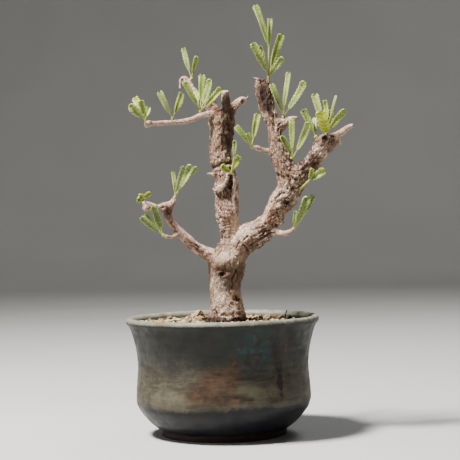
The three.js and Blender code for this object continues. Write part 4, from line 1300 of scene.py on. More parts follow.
ridges = lines_of(
    (1.0, 0.5, 1, [(-3.7, 149.6), (3.2, 153.8), (5.4, 158.6)]),
    (1.0, 0.5, 1, [(9.2, 159), (10.2, 155), (11, 145)]),
    (0.9, 0.9, 1, [(-2, 163.6), (3, 164.8), (7.5, 165.4)]),
    (0.5, 0.5, 1, [(-6, 160.6), (3, 160.8), (9.6, 160)]),
    (0.5, 0.4, 1, [(-0.8, 97.2), (1.4, 96.6), (3.6, 97.8)]),
    (0.4, 0.5, 1, [(3.4, 121), (4.4, 114), (5, 108)]),
    (0.4, 0.4, 1, [(6.6, 119), (7.2, 112), (7, 107)]),
    (0.6, 0.6, 1, [(8.8, 99.6), (8.4, 96), (8, 94)]),
    (0.6, 0.7, 1, [(33, 146.4), (37, 149.8), (42, 148.8)]),
    (0.6, 0.7, 0.4, [(18.1, 123.8), (17.7, 122), (16.2, 120.4)]),
    (0.45, 0.6, 0.3, [(23.2, 120.8), (25.4, 122), (28, 123.4)]),
    (0.4, 0.4, 0.3, [(23.6, 122.4), (25.6, 124)]),
    (0.4, 0.5, 0.2, [(-18.6, 118.2), (-13.4, 114.9)]),
    (0.6, 0.7, 1, [(34, 143.6), (38, 146.6), (43.4, 145.4)]),
    (0.7, 0.5, 1, [(20, 127.6), (25.4, 131), (29, 137), (30.6, 144)]),
)


def eyelet(x, z, radius):
    """A small round knot seen from the front: a ring that stands up round a pit."""
    d = np.hypot(skin_points[:, 0] - x, skin_points[:, 2] - z) / radius
    return (np.exp(-(((d - 1) / 0.4) ** 2)) - 1.4 * np.exp(-((d / 0.5) ** 2))) * facing_front


eyelets = [
    (46.2, 156, 1.8, 1), (36.4, 146.4, 1.6, 0.8), (27.5, 129.6, 1.4, 0.7), (-34.6, 140.7, 1.5, 1.1),
    (15.4, 206, 1.8, 1.3), (5, 171, 1.3, 0.4), (-1, 172.6, 1.1, 0.4),
]
knots = sum(strength * eyelet(x, z, radius) for x, z, radius, strength in eyelets)
brow = patches((3, 107, 9, 3.8, 1.4), (2.4, 101.6, 7, 1.8, -1.3))
burl = patches((39, 143.5, 4.2, 2.6, 1), (40.5, 140.4, 2.2, 1.1, -1.1), (38.5, 137, 4, 1.6, -0.4))
boss = patches((9.3, 87.6, 2.6, 3.4, 1), (9.4, 83.3, 1.8, 1.1, -1.3))
relief = relief * (1 - 0.6 * wound) - cracks + ridges + brow + burl + boss + 0.6 * knots
relief = (relief + 1.4 * flap - 1.3 * wound) * (1 - 0.6 * in_hollow)
print(f"cracks down to {cracks.max():.2f} mm")

# %% Smoothing and moving the skin
def spread(values, rounds):
    """Each point's value averaged with its neighbours along the edges, a number of times."""
    a, b = skin_edges.T
    count = np.bincount(skin_edges.ravel(), minlength=len(values))
    for _ in range(rounds):
        total = np.bincount(a, values[b], len(values)) + np.bincount(b, values[a], len(values))
        values = 0.5 * values + 0.5 * total / np.maximum(count, 1)
    return values


relief = spread(relief, 1)
bark_points = skin_points + skin_normals * relief[:, None]
lowest, highest = (np.array(corner) for corner in cad_box)
inside_low = (lowest - pot_axis) / MM
inside_high = (highest - pot_axis) / MM
bark_points = np.clip(bark_points, inside_low, inside_high)
sunken = spread(relief, 8) - relief
print(f"moved by {np.abs(relief).max():.2f} mm at most")

# %% [markdown]
# The colours follow the same layers. Sunken places, cracks and grooves are darkened as painted shade,
# and raised places and upward faces are made paler as painted light, over bark that is really bleached
# to a pinkish cream in patches. Patches of rust, ochre and blue-grey lie where the photograph shows
# them, and painted shade lies below the brow, beside the scar and under the left branch. The ends that
# were cut show pale wood with a dark ring in it. Each is a number on the mesh, so relief and colour agree.

# %% Numbers that colour the bark
# Painted shade: the faces of the left branch that look down are darkened.
shaded_underside = on_left_branch * ramp(-skin_normals[:, 2], -0.1, 0.6)
foot_line = 73.4 + 1.2 * layered(skin_points, 4, 2, 295)
at_soil = ramp(foot_line - skin_points[:, 2], 0, 1.4)

# Painted shade: sunken places, cracks, pits, the wound's recess and the grooves of wrinkles, furrows,
# stripes, knuckles and scales are darkened, and so are the left branch's underside, the shade under the brow
# and round the knot hole, and the right limb's underside at the fork. The band at the soil line and a few
# patches are the bark's own darker colour.
shade_and_dark_bark = ramp(sunken, 0.12, 0.7) + ramp(cracks, 0.25, 1.0) + ramp(-knots, 0.2, 0.9) + 0.5 * wound
shade_and_dark_bark = shade_and_dark_bark + old * (0.45 * wrinkle + 0.5 * furrow * furrowed + 0.6 * scaly * scale_gap)
shade_and_dark_bark = shade_and_dark_bark + 0.75 * striped * stripes + 0.35 * (1 - old) * bend_lines + 0.9 * at_soil
shade_and_dark_bark = shade_and_dark_bark + 0.5 * shaded_underside * ramp(noise(rolled(0.4), 2, 350), -0.2, 0.5)
shade_and_dark_bark = shade_and_dark_bark + patches((0, 171.5, 8, 4, 0.4)) * ramp(collar_grain, 0, 0.5)
shade_and_dark_bark = shade_and_dark_bark - 0.3 * smooth_base - 0.25 * smooth - 0.1 * upright_face
shade_and_dark_bark = shade_and_dark_bark + patches(
    (9.4, 83.3, 1.8, 1.1, 0.9), (55, 166, 6, 6, 0.3), (-31.5, 137, 4, 4.5, 0.6), (24, 115, 9, 4, 0.35),
    (38, 172, 8, 13, 0.3), (41, 143, 9, 10, -0.25), (0, 100.4, 10.5, 4.4, 0.45), (-0.6, 98.4, 4.6, 2.6, 0.6),
)

# Painted light: raised places, the rings round the eyelets, upward faces, the upper side of the left branch
# and the right side of the base are made paler. Noisy patches and the smooth base are bark that is really
# bleached.
bleach_and_painted_light = ramp(layered(skin_points, 4, 3, 300), 0.0, 0.8) + 0.5 * ramp(-sunken, 0.1, 0.6)
bleach_and_painted_light = bleach_and_painted_light + 0.3 * ramp(skin_normals[:, 2], 0.2, 0.9) + 0.5 * ramp(knots, 0.3, 0.9) + ridges
bleach_and_painted_light = bleach_and_painted_light + 0.5 * smooth_base + 0.5 * flap + 0.6 * bark_fold - 0.9 * weathered_and_shade
bleach_and_painted_light = bleach_and_painted_light + 0.7 * limb_top + 0.3 * upright_face + 0.6 * upright_side + is_limb("splinter")
bleach_and_painted_light = bleach_and_painted_light + 0.9 * on_left_branch * ramp(skin_normals[:, 2], -0.1, 0.5)
bleach_and_painted_light = bleach_and_painted_light + bands((12.5, 77, 4, 5, 0.8)) + patches(
    (4, 78, 11, 4, 0.8), (0, 171.5, 7, 5, 0.4), (46, 154, 3, 3, 0.9), (-4, 189, 3, 9, 0.5),
    (3, 107.5, 9, 4, 0.6), (4.2, 211.6, 3, 1.8, 0.9), (9.3, 87.6, 2.4, 3.2, 0.6), (-3.5, 201.5, 5, 3, -0.9),
    (1, 100.6, 9, 3.6, -0.8), (-31.5, 138.5, 5, 5, -0.7), (38.6, 146.6, 5, 3.5, 0.7),
    (14.5, 123.6, 7, 4, 0.5), (33, 147, 5, 5, 0.9), (16, 126, 6, 3, 0.8), (43, 143, 9, 11, 0.45),
    (45, 160, 6, 5, 0.3), (37, 172, 8, 13, -0.5),
)

red = 0.5 * at_soil + 0.5 * ramp(layered(skin_points, 6, 2, 310), 0.4, 0.9) + patches(
    (30, 131.5, 3, 2, 1.2), (22, 131.5, 3, 1.6, 0.7), (33, 141, 2.5, 4, 0.6), (34, 150, 4, 3, 0.5),
    (-31, 139.5, 4.5, 4.5, 0.6), (-3.5, 200.5, 6, 2.5, 0.7),
)
red = red + 0.5 * limb_top * ramp(noise(rolled(0.5), 2.5, 351), -0.1, 0.5)
# Ochre is partly the bark's own colour and partly painted shade, on the left branch's underside and below the
# brow.
ochre_and_shade = 0.5 * shaded_underside + 0.3 * ramp(layered(skin_points, 8, 2, 320), 0.3, 0.8) + patches(
    (8.9, 85.5, 3.4, 3.6, 1.2), (5, 130, 6, 12, 0.5), (22, 138, 5, 5, 0.4), (0, 101, 11, 5.5, 0.35),
    (-31.5, 139, 5, 5, 0.5),
)
bluish = 0.4 * ramp(layered(skin_points, 10, 2, 330), 0.4, 0.9) + patches((2.4, 92.5, 5, 6, 1.2))
# Painted shade: a soft brown below the brow, beside the scar, right of the trunk, under the left branch and
# on the swelling at its end.
painted_shade = patches(
    (-1, 101, 12, 5.5, 1), (10, 101, 8, 8, 0.7), (-31.5, 138.5, 5.5, 5, 0.9), (9, 93, 5, 9, 0.5),
    (-14, 105.5, 9, 4, 0.6),
)
print(f"bleached on {100 * (bleach_and_painted_light > 0.5).mean():.0f}% of the skin")

# %% Cut ends, and the bark as a piece
# The dark ring lies at 0.55 of the limb's radius.
cut_end = np.zeros(len(skin_points))
pith = np.zeros(len(skin_points))
cut_limbs = (
    "front_stub", "right_stub", "end_stub", "end_lobe", "left_end_twig", "left_low_twig", "long_twig",
)
for name in cut_limbs:
    *_, before, last = limbs[name]
    way = np.array(last[:3], float) - np.array(before[:3], float)
    way /= np.linalg.norm(way)
    offset_end = skin_points - np.array(last[:3], float)
    beyond = offset_end @ way
    off_axis = np.linalg.norm(offset_end - beyond[:, None] * way, axis=1) / last[3]
    cap = ramp(beyond, -0.35 * last[3], 0.1 * last[3]) * (off_axis < 1.3) * (beyond < 2 * last[3])
    cut_end = np.maximum(cut_end, cap)
    pith = np.maximum(pith, cap * np.exp(-(((off_axis - 0.55) / 0.2) ** 2)))
bark_marks = {
    "shade_and_dark_bark": shade_and_dark_bark, "hollow": in_hollow, "bleach_and_painted_light": bleach_and_painted_light, "red": red, "ochre_and_shade": ochre_and_shade, "bluish": bluish,
    "painted_shade": painted_shade, "smooth": smooth, "weathered_and_shade": weathered_and_shade, "young": (1 - old) * ~bark_fold,
    "cut_end": cut_end, "pith": pith,
}
bark_marks = {mark: capped(values) for mark, values in bark_marks.items()}
bark_marks["grain"] = rolled(0.4)
skin_faces = np.empty(len(skin.loops), int)
skin.loops.foreach_get("vertex_index", skin_faces)
trunk = make_piece("trunk_and_branches", bark_points, [skin_faces.reshape(-1, 4)], bark_marks)
print(f"bark: {len(skin.polygons)} faces")


# %% [markdown]
# Detail finer than the mesh comes from the finish. It reads the rolled-out place of each point along
# its limb, so even the smallest wrinkles follow the wood round a bend.

# %% The bark's finish
def bark():
    """Tones mixed by the mesh's numbers, with fine wrinkles that are drawn out along the limb."""
    material, tree, shader = new_material("flaky_bark", Specular_IOR_Level=0.25)
    at = millimetres(tree)
    along_limb = add_node(tree, "ShaderNodeAttribute", attribute_name="grain").outputs["Vector"]
    flakes = fine_noise(tree, at, 0.9, 8.0, 0.7)
    drift = add_node(tree, "ShaderNodeTexNoise", {"Vector": along_limb, "Scale": 0.5, "Detail": 3.0})
    bent = add_node(
        tree,
        "ShaderNodeVectorMath",
        {0: drift.outputs["Color"], 1: (1.6, 1.6, 1.6), 2: along_limb},
        operation="MULTIPLY_ADD",
    ).outputs["Vector"]
    cells = add_node(tree, "ShaderNodeTexVoronoi", {"Vector": bent, "Scale": 1.1}, feature="DISTANCE_TO_EDGE")
    from_border = cells.outputs["Distance"]
    fibre = fine_noise(tree, bent, 1.7, 7.0, 0.65)
    drawn = add_node(tree, "ShaderNodeMapping", {"Vector": bent, "Scale": (1.0, 1.0, 0.4)}).outputs["Vector"]
    streaks = step_up(tree, fine_noise(tree, drawn, 2.2, 6.0, 0.7), 0.36, 0.62)
    smooth_share, young_share = mark_of(tree, "smooth"), mark_of(tree, "young")

    color = mixed(tree, step_up(tree, fibre, 0.36, 0.62), rgb(96, 68, 52), rgb(196, 164, 140))
    color = laid(tree, color, cloud(tree, at, 6, 0.35, 0.7, 4), 0.7, rgb(154, 124, 104))
    sleek = mixed(tree, streaks, rgb(104, 82, 66), rgb(206, 180, 152))
    color = laid(tree, color, smooth_share, 0.8, sleek)
    young = mixed(tree, step_up(tree, fibre, 0.3, 0.62), rgb(122, 88, 72), rgb(212, 178, 158))
    color = mixed(tree, young_share, color, young)
    # Of these layers the dark weathered one and the ochre are partly painted shade, and the bleached one is
    # partly painted light.
    for mark, low, high, raggedness, strength, tint in (
        ("weathered_and_shade", 0.3, 0.85, 0.9, 0.8, rgb(46, 30, 22)),
        ("ochre_and_shade", 0.3, 0.9, 0.9, 0.65, rgb(162, 124, 78)),
        ("bleach_and_painted_light", 0.35, 1.1, 1.5, 0.85, rgb(229, 201, 179)),
        ("bluish", 0.3, 0.9, 0.9, 0.7, rgb(106, 103, 103)),
        ("red", 0.35, 0.9, 0.9, 0.75, rgb(138, 78, 50)),
    ):
        color = laid(tree, color, ragged(tree, mark, flakes, low, high, raggedness), strength, tint)
    # Painted shade, a soft brown.
    color = laid(tree, color, mark_of(tree, "painted_shade"), 0.62, rgb(92, 64, 48))

    # Dark lines in the grooves between the fine bark cells: partly the bark's own colour, partly painted
    # shade.
    lines = times(tree, step_up(tree, from_border, 0.15, 0.01), 0.75)
    for softened, share in ((young_share, 0.7), (smooth_share, 0.75)):
        lines = times(tree, lines, calc(tree, "SUBTRACT", 1.0, times(tree, softened, share)))
    color = mixed(tree, lines, color, rgb(60, 40, 29))
    # Painted shade in the recesses, over the bark's own darker patches.
    color = laid(tree, color, ragged(tree, "shade_and_dark_bark", flakes, 0.3, 1.0, 0.7), 0.85, rgb(50, 33, 24))
    color = laid(tree, color, ragged(tree, "cut_end", flakes, 0.3, 0.7, 0.4), 0.85, rgb(224, 208, 186))
    color = laid(tree, color, mark_of(tree, "pith"), 0.7, rgb(96, 66, 48))
    # Inside the hollows: dark rotted wood, darkened further as painted shade.
    color = laid(tree, color, ragged(tree, "hollow", flakes, 0.3, 0.8, 0.5), 0.9, rgb(42, 28, 20))
    skin_height = calc(tree, "ADD", fibre, times(tree, step_up(tree, from_border, 0.0, 0.2), 0.7))
    wire(tree, shader, color, step_up(tree, flakes, -2.0, 0.9), bump(tree, skin_height, 0.0007, 0.9))
    return material


dress(trunk, "bark", bark(), "trunk")

# %% [markdown]
# ## Leaves
#
# The young leaves are narrow straps, widest near their blunt or notched tips, made of many tiny
# leaflets in pairs that are still pressed together. That gives a scalloped edge, slanting creases and
# pairs of dark dots beside the rib. A leaf is one closed surface: a flattened tube whose width
# follows the outline, with the creases and a fold along the rib added as offsets.

# %% Where the leaves grow
# Each spray has a point inside the limb that bears it, the way out of the limb, the forks of its
# stalk, and its leaves: tip, width, the fork it starts from (-1 for the bud), the share of bare
# stalk, its bow, and its tint: 0 is grey-green, 1 yellow-green, 1.5 golden, and below 0 a darker
# green, partly an older leaf and partly painted shade.
sprays = {
    "spray_01": ((30.9, -2.7, 216.3), (0.25, -0.1, 1), [(32.2, -4, 237.6)], [
        ((21.7, -8, 240.3), 5.2, -1, 0.28, 0.08, 0.2), ((26.6, -6.5, 239), 3.4, -1, 0.66, 0.02, 0.2),
        ((24.1, -2, 264.5), 4.2, 0, 0.12, 0.06, 0.1), ((33.1, -7, 255.6), 3.2, 0, 0.12, 0.05, 0.2),
        ((40.3, 2, 246.8), 4.8, -1, 0.34, -0.05, 0.3), ((40.8, -8, 231.6), 4, -1, 0.25, -0.08, 0.2),
    ]),
    "spray_02": ((-44, -11.8, 190.9), (-0.1, 0, 1), [], [
        ((-53.6, -17, 203.5), 5.4, -1, 0.3, 0.1, 0.3), ((-51, -8, 208.4), 4.6, -1, 0.3, 0.08, 0.7),
        ((-46.6, -15, 206.2), 4.2, -1, 0.35, 0.03, 0.4), ((-42.2, -8.5, 202.6), 3.4, -1, 0.3, -0.08, 0.2),
    ]),
    "spray_03": ((-28.2, -7, 192.9), (0.05, 0, 1), [], [
        ((-35.8, -10, 211.9), 4, -1, 0.25, 0.05, 0.1), ((-22, -3, 211), 4.4, -1, 0.28, 0.08, 0.3),
    ]),
    "spray_04": ((-10.6, -1.8, 197), (-0.15, 0.15, 1), [], [
        ((-20.8, -5, 217.9), 3.8, -1, 0.3, 0.05, 0.3), ((-14.2, 5, 213.8), 3.4, -1, 0.35, 0.05, 0.6),
        ((-9.6, 7, 223.4), 4.6, -1, 0.35, 0.03, 0.2), ((-4.2, -1, 219.6), 4.4, -1, 0.35, -0.06, 0.1),
        ((2.2, -6.5, 213.2), 4.2, -1, 0.3, -0.08, 0.6),
    ]),
    "spray_05": ((-17.6, 15, 219.3), (0.45, 0, 0.9), [], [
        ((-21, 18, 241.4), 3.5, -1, 0.35, 0.04, 0.1), ((-12.6, 11, 235.4), 3.2, -1, 0.35, -0.06, 0.5),
    ]),
    "spray_06": ((4, 1.5, 160), (0.5, -1, 0.15), [(9.3, -8.2, 170)], [
        ((10, -8.5, 181), 2.6, 0, 0.12, 0.03, 0.1), ((12.6, -5, 171.8), 4, -1, 0.3, -0.05, 0.8),
        ((1.5, -10.5, 165.4), 4, -1, 0.25, -0.08, 0.9),
    ]),
    "spray_07": ((22.6, -16.7, 175.7), (-0.9, -0.1, 0.2), [], [
        ((10.5, -20, 188.8), 4, -1, 0.28, 0.08, 0.1), ((24.2, -13, 196.4), 4.2, -1, 0.35, 0.05, 0.5),
        ((17.6, -21.5, 184.6), 3, -1, 0.4, 0.03, 0.3),
    ]),
    "spray_08": ((40, -8, 190.8), (0, 0.15, 1), [], [
        ((32.7, -12, 214.8), 3.6, -1, 0.25, 0.06, 0.1), ((44.2, -5, 222.4), 3.4, -1, 0.3, 0.03, 0.3),
        ((53.8, -13, 216), 4.8, -1, 0.3, -0.05, 0.2),
    ]),
    "spray_09": ((38.5, -12, 168), (1, -0.6, 0.15), [], [
        ((37.6, -22, 182.3), 4, -1, 0.25, 0.05, 0.2), ((44.9, -17.5, 192.9), 3.6, -1, 0.3, 0.03, 0.4),
        ((54.8, -27, 189.8), 4.6, -1, 0.3, -0.06, 0.2),
    ]),
    "spray_10": ((61.5, -20, 178), (-0.6, 0.1, 0.8), [], [
        ((51.2, -19, 197.9), 4.7, -1, 0.3, 0.05, 0.1), ((58.8, -15, 193.6), 2.9, -1, 0.3, 0.03, 0.2),
    ]),
    "spray_11": ((65.3, -20.5, 179.5), (0.05, 0.15, 1), [], [
        ((61.9, -27, 196.6), 7.6, -1, 0.15, 0.2, 1.5), ((58.8, -18, 207.6), 4.4, -1, 0.45, 0.09, 0.1),
        ((77, -22.5, 197.2), 4.4, -1, 0.25, -0.08, 0.5), ((68.8, -14.5, 197.5), 4, -1, 0.25, 0.03, 0.4),
        ((65.6, -11.5, 204.4), 2.8, -1, 0.5, -0.12, 0.9), ((72, -17, 206.3), 1.7, -1, 0.5, 0.03, 0.2),
    ]),
    "spray_12": ((44, -14, 150.6), (0.8, -0.75, 0), [(54.2, -25.6, 155)], [
        ((64, -27, 161.2), 4.8, 0, 0.12, -0.06, 0.3), ((55.8, -26.5, 162.4), 3.2, 0, 0.15, 0.03, 0.6),
    ]),
    "spray_13": ((42.8, -15.7, 124.6), (0.75, -0.1, 0.6), [(49.8, -17.5, 132.4)], [
        ((53.2, -20, 145.5), 5.2, -1, 0.22, 0.05, -0.4), ((57.2, -14, 146.4), 3.4, 0, 0.12, -0.05, -0.2),
        ((46, -19.5, 136.9), 2.6, -1, 0.3, 0.04, 0.2),
    ]),
    "spray_14": ((-28.2, -10.2, 144.2), (0.3, 0, 1), [], [
        ((-28.4, -7, 162.6), 2.6, -1, 0.3, 0.04, 0.1), ((-20.9, -14, 165.4), 4.2, -1, 0.25, 0.03, 0.0),
        ((-16.6, -11, 166.4), 4.6, -1, 0.4, -0.04, 0.0), ((-13.4, -7, 165.2), 3.4, -1, 0.45, -0.08, 0.1),
    ]),
    "spray_15": ((-45.3, -15.8, 142.1), (-0.5, 0, 0.9), [], [
        ((-47.4, -18.5, 149.2), 3.6, -1, 0.2, 0.06, 0.9), ((-42, -13.5, 149.6), 3.4, -1, 0.25, -0.08, 1.0),
        ((-50.6, -19.5, 145.4), 4, -1, 0.2, 0.08, 0.9),
    ]),
    "spray_16": ((-32.8, -14.8, 122.8), (-0.9, 0, 0.4), [], [
        ((-48, -20.5, 135.3), 4.0, -1, 0.3, 0.06, 0.0), ((-40.6, -19.5, 141.8), 5.4, -1, 0.3, -0.06, -1.0),
        ((-45.6, -14, 137.3), 2.4, -1, 0.3, 0.03, 0.1),
    ]),
}
print(sum(len(leaves) for *_, leaves in sprays.values()), "leaves")

# %% [markdown]
# The outline is a formula: the blade opens from the stalk along a quarter sine and is widest near its
# tip, where its corners are rounded off. Scallops are cut into it, one per leaflet. On some leaves the
# middle of the tip is drawn back, which leaves the notch that the real leaves have.

# %% One leaf
LEAF_SIDES = 20
ROWS_A_LEAFLET = 6
LEAFLET = 2.2
LEAF_THICKNESS = 0.42
STALK = 0.45
STALK_SHARE = 0.75
LEAF_FULLNESS = 1.08


def leaf_outline(t):
    """Half-width along the blade as a share: 0.42 + 0.48 sin(quarter turn by t = 0.5) + 0.1 t."""
    return 0.42 + 0.48 * np.sin(np.minimum(1, 2 * t) * np.pi / 2) + 0.1 * t


def leaf(start, tip, width, bare, bow, turn_by, seed):
    """A flattened tube along a bent rib. Round it, u = cos a goes from edge to edge and sin a gives the
    two faces. The rib is the quadratic curve from start to tip, drawn towards a bowed middle."""
    bare = bare * STALK_SHARE
    length = np.linalg.norm(tip - start)
    way = (tip - start) / length
    face = -DEPTH + way * way[1]
    face /= np.linalg.norm(face)
    side = np.cross(way, face)
    cosine, sine = np.cos(turn_by), np.sin(turn_by)
    face, side = face * cosine + side * sine, side * cosine - face * sine

    leaflets = max(4, round(length * (1 - bare) / LEAFLET))
    stalk_at = np.linspace(0, bare, 6)[:-1]
    blade_at = bare + (1 - bare) * np.linspace(0, 1, ROWS_A_LEAFLET * leaflets + 1)
    t = np.concatenate([stalk_at, blade_at])
    blade = np.clip((t - bare) / (1 - bare), 0, 1)
    half = np.where(blade > 0, LEAF_FULLNESS * width / 2 * leaf_outline(blade), 0)
    opening = ramp(t, bare * 0.8, bare + 0.06)
    stalk = STALK * (1 - 0.3 * t / max(bare, 0.1)) * (t < bare + 0.1)
    half = np.maximum(np.maximum(half * opening, stalk), 0.3)[:, None]
    thick = (STALK * 0.8 * (1 - opening) + LEAF_THICKNESS / 2 * opening)[:, None]

    a = np.linspace(0, 2 * np.pi, LEAF_SIDES, endpoint=False)
    u, up = np.cos(a)[None, :], np.sin(a)[None, :]
    s, along_blade, open_share = t[:, None], blade[:, None], opening[:, None]
    lobe = np.abs(np.sin(np.pi * (leaflets * along_blade + 0.13 * np.sign(u))))
    scallop = 1 - 0.42 * (1 - lobe**0.6) * ramp(along_blade, 0.03, 0.2) * np.abs(u) ** 1.5
    notch = 0.5 * (1 + np.sin(seed * 3.1)) * np.exp(-((u / 0.25) ** 2)) * ramp(along_blade, 0.86, 1.0)
    round_end = (0.38 + 0.14 * np.sin(seed * 1.3)) * width * (1 - np.sqrt(1 - 0.97 * u**2))
    drawn_back = notch + round_end * ramp(along_blade, 0.7, 1.0)

    middle = (start + tip) / 2 + face * 2 * bow * length
    rib = (1 - s) ** 2 * start + 2 * s * (1 - s) * middle + s**2 * tip
    along = 2 * (1 - s) * (middle - start) + 2 * s * (tip - middle)
    along /= np.linalg.norm(along, axis=1, keepdims=True)
    normal = np.cross(side[None], along)
    normal /= np.linalg.norm(normal, axis=1, keepdims=True)
    fold = (0.3 + 0.15 * np.sin(seed * 2.4)) * (np.abs(u) - 0.4) * half * open_share
    slant = along_blade * leaflets + 0.13 * np.sign(u) - 0.8 * np.abs(u)
    crease = 0.2 * np.abs(np.sin(np.pi * slant)) ** 0.5 * open_share * ramp(np.abs(u), 0.05, 0.3)
    waves = 0.16 * np.sin(5 * along_blade + seed) * u * half * open_share
    curl = 0.5 * ramp(along_blade, 0.75, 1.0) * (0.4 + np.sin(seed * 1.7)) * open_share
    lift = up * (thick + crease) + fold + waves + curl
    points = (
        rib[:, None]
        + side * (u * half * scallop)[..., None]
        + normal[:, None] * lift[..., None]
        - along[:, None] * drawn_back[..., None]
    )
    rows = len(t)
    shape = np.concatenate([points.reshape(-1, 3), [start, points[-1].mean(axis=0)]])
    faces = [
        grid_faces(rows, LEAF_SIDES)[:, ::-1],
        pole_faces(rows * LEAF_SIDES, 0, LEAF_SIDES, upward=True),
        pole_faces(rows * LEAF_SIDES + 1, (rows - 1) * LEAF_SIDES, LEAF_SIDES, upward=False),
    ]
    marks = {
        "across": np.concatenate([np.repeat(u, rows, axis=0).ravel(), [0, 0]]),
        "leaflet": np.concatenate([slant.ravel(), [0, leaflets]]),
        "blade": np.concatenate([np.repeat(opening, LEAF_SIDES), [0, 1]]),
    }
    return shape, faces, marks


trial = leaf(np.zeros(3), np.array([0, 0, 20.0]), 4, 0.3, 0.05, 0, 0)
print(f"a leaf has {sum(len(f) for f in trial[1])} faces")

# %% [markdown]
# A spray sits on its limb at a bud. A ray from outside the limb towards its heart finds the bark
# there, so the bud rests on the bark that shows, and the stalks start from the bud.

# %% Building the sprays
STALK_TINT = 0.8


def leaf_turn(key):
    """How far a leaf is turned about its rib: 0.45 times a repeatable number from -1 to 1."""
    wave = np.sin(key * 127.1 + 311.7) * 43758.5453
    return 0.45 * (2 * (wave - np.floor(wave)) - 1)


def find_bark(heart, outward):
    """Where a ray towards the heart meets the bark."""
    reach = 14
    origin = Vector(place(heart + outward * reach))
    hit, where, *_ = trunk.ray_cast(origin, Vector(-outward), distance=reach * MM)
    return (np.array(where) - pot_axis) / MM if hit else heart


def spray_shape(number, heart, facing, forks, leaves):
    """All shells of one spray with their marks and tint: bud, forked stalks and leaves."""
    outward = np.array(facing, float) / np.linalg.norm(facing)
    skin_at = find_bark(np.array(heart, float), outward)
    bud = skin_at + outward * 1.3
    bud_line = [(*(skin_at - outward * 1.2), 0.7), (*bud, 1.1)]
    shells = [(*tube(bud_line, 12, 0.8, 0.5), {}, STALK_TINT)]
    for fork in forks:
        stalk_line = [(*bud, 0.62), (*((bud + fork) / 2 + outward * 0.2), 0.6), (*fork, 0.6)]
        shells.append((*tube(stalk_line, 10, 0.6), {}, STALK_TINT))
    for i, (tip, width, source, bare, bow, tint) in enumerate(leaves):
        start = bud if source < 0 else np.array(forks[source], float)
        key = number * 40 + i
        shells.append((*leaf(start, np.array(tip, float), width, bare, bow, leaf_turn(key), key), tint))
    return shells


def spray_piece(name, number, spec):
    """The spray's shells joined, with marks for the leaf's pattern and its tint."""
    shells = spray_shape(number, *spec)
    joined = {
        mark: np.concatenate([marks.get(mark, np.zeros(len(points))) for points, _, marks, _ in shells])
        for mark in ("across", "leaflet", "blade")
    }
    joined["yellow"] = np.concatenate([np.full(len(points), tint) for points, _, _, tint in shells])
    points, faces = gather([shell[:2] for shell in shells])
    return make_piece(name + "_leaves", np.clip(points, inside_low, inside_high), faces, joined)


spray_pieces = {
    name: spray_piece(name, number, spec) for number, (name, spec) in enumerate(sprays.items())
}
print(f"{sum(len(p.data.polygons) for p in spray_pieces.values())} faces in all sprays")

# %% [markdown]
# The finish reads the leaf's own marks: how far across a point lies, and which leaflet it is on. So the
# rib and the slanting creases, darkened as painted shade, and the pairs of dark dots follow every bend
# of the blade. Stalks are yellow-green, and light shines through the blade a little.

# %% The leaves' green
def foliage():
    """Grey-green to golden by tint, with painted shade in the middle fold, the creases and along the rib,
    darker dots, and paler on the rim.
    """
    material, tree, shader = new_material(
        "young_leaf", Subsurface_Weight=0.18, Subsurface_Scale=0.0015, Specular_IOR_Level=0.4
    )
    shader.inputs["Subsurface Radius"].default_value = (0.6, 1.0, 0.3)
    at = millimetres(tree)
    across = calc(tree, "ABSOLUTE", mark_of(tree, "across"))
    from_border = calc(tree, "SUBTRACT", calc(tree, "FRACT", mark_of(tree, "leaflet")), 0.5)
    from_border = calc(tree, "ABSOLUTE", from_border)
    from_dot = calc(tree, "ABSOLUTE", calc(tree, "SUBTRACT", across, 0.28))
    yellow = mark_of(tree, "yellow")
    patch = cloud(tree, at, 4, 0.3, 0.7)
    grey = mixed(tree, patch, rgb(112, 128, 60), rgb(148, 160, 92))
    bright = mixed(tree, patch, rgb(138, 152, 30), rgb(176, 184, 50))
    shaded_older_green = mixed(tree, patch, rgb(76, 86, 24), rgb(110, 122, 38))
    color = mixed(tree, yellow, grey, bright)
    # Below tint 0 a darker green: partly an older leaf, partly painted shade.
    color = mixed(tree, step_up(tree, yellow, 0.0, -1.0), color, shaded_older_green)
    # Painted shade: the middle fold of the blade, stronger on yellow leaves, the slanting creases and the rib
    # are darkened.
    depth = calc(tree, "ADD", times(tree, yellow, 0.28), 0.18, clamp=True)
    crease = times(tree, step_up(tree, from_border, 0.3, 0.5), step_up(tree, across, 0.08, 0.25))
    dot = times(tree, step_up(tree, from_dot, 0.16, 0.04), step_up(tree, from_border, 0.26, 0.42))
    for mask, strength, tint in (
        (step_up(tree, across, 0.7, 0.15), depth, rgb(84, 104, 34)),
        (step_up(tree, yellow, 1.0, 1.5), 0.7, rgb(172, 176, 22)),
        (crease, 0.6, rgb(62, 84, 36)),
        (dot, 0.6, rgb(50, 68, 24)),
        (step_up(tree, across, 0.1, 0.03), 0.5, rgb(64, 80, 26)),
        (step_up(tree, across, 0.72, 0.97), 0.55, rgb(184, 194, 132)),
    ):
        color = laid(tree, color, mask, strength, tint)
    stalk = mixed(tree, patch, rgb(134, 140, 62), rgb(162, 160, 84))
    color = mixed(tree, mark_of(tree, "blade"), stalk, color)
    roughness = step_up(tree, cloud(tree, at, 1.5, 0.2, 0.8), -1.6, 2.6)
    wire(tree, shader, color, roughness, bump(tree, fine_noise(tree, at, 1.8, 3.0), 0.00015, 0.5))
    return material


leaf_green = foliage()
for name, piece in spray_pieces.items():
    dress(piece, "leaf", leaf_green, name)

# %% [markdown]
# ## Floor and light
#
# The tree stands on a plain pale floor that rises into a wall all round, like the sweep of a photo
# studio, so it looks the same from every side. A soft lamp on the upper left is the key, as in the
# photograph. A broad low one on the left lights the flanks, one behind on the right grazes the back
# edges of the limbs, and a weak one in front opens the shadows.

# %% The floor
FLOOR_SIDES = 96


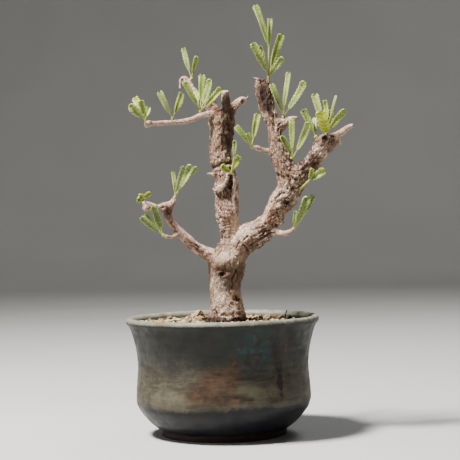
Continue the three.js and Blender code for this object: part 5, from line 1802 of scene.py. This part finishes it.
def sweep():
    """A round floor that bends up into a wall: a profile of flat part, quarter circle and upright
    part, carried round the axis."""
    flat, bend, wall = 1900.0, 900.0, 1500.0
    curve = np.linspace(0, np.pi / 2, 16)
    radii = np.concatenate([[1, 400, 1000], flat + bend * np.sin(curve), [flat + bend]])
    rises = np.concatenate([[0, 0, 0], bend * (1 - np.cos(curve)), [bend + wall]])
    a = np.linspace(0, 2 * np.pi, FLOOR_SIDES, endpoint=False)
    x, y = radii[:, None] * np.cos(a), radii[:, None] * np.sin(a)
    z = np.repeat(rises[:, None], FLOOR_SIDES, axis=1)
    points = np.concatenate([np.stack([x, y, z], axis=-1).reshape(-1, 3), [[0, 0, 0]]])
    middle = pole_faces(len(radii) * FLOOR_SIDES, 0, FLOOR_SIDES, upward=False)
    return points, [grid_faces(len(radii), FLOOR_SIDES), middle]


def paper():
    """Matt pale grey paper with a trace of unevenness."""
    material, tree, shader = new_material("pale_paper", Roughness=0.9, Specular_IOR_Level=0.1)
    at = millimetres(tree)
    tone_of_paper = mixed(tree, cloud(tree, at, 300, 0.3, 0.7), rgb(172, 172, 170), rgb(176, 176, 174))
    tree.links.new(tone_of_paper, shader.inputs["Base Color"])
    return material


floor = make_piece("floor", *sweep())
floor.data.materials.append(paper())
print("floor:", len(floor.data.polygons), "faces")

# %% The lamps
aim = place((5, 0, 130))


def lamp(name, stand, size, power, warmth=(1.0, 1.0, 1.0)):
    """A square area lamp at stand, in millimetres, turned towards the tree."""
    data = bpy.data.lights.new(name, "AREA")
    data.shape, data.size, data.energy, data.color = "SQUARE", size * MM, power, warmth
    light = bpy.data.objects.new(name, data)
    light.location = place(stand)
    light.visible_camera = False
    light.rotation_euler = (Vector(aim) - light.location).to_track_quat("-Z", "Y").to_euler()
    bpy.context.scene.collection.objects.link(light)


lamp("key", (-430, -250, 1040), 200, 58, (1.0, 0.97, 0.93))
lamp("side", (-1000, -350, 420), 600, 3.2, (0.97, 0.98, 1.0))
lamp("back", (420, 700, 900), 400, 5.5)
lamp("front", (100, -1500, 400), 1000, 0.6)

world = bpy.data.worlds.new("studio")
world.use_nodes = True
backdrop = world.node_tree.nodes["Background"]
backdrop.inputs["Color"].default_value = (0.9, 0.93, 1.0, 1.0)
backdrop.inputs["Strength"].default_value = 0.05
bpy.context.scene.world = world
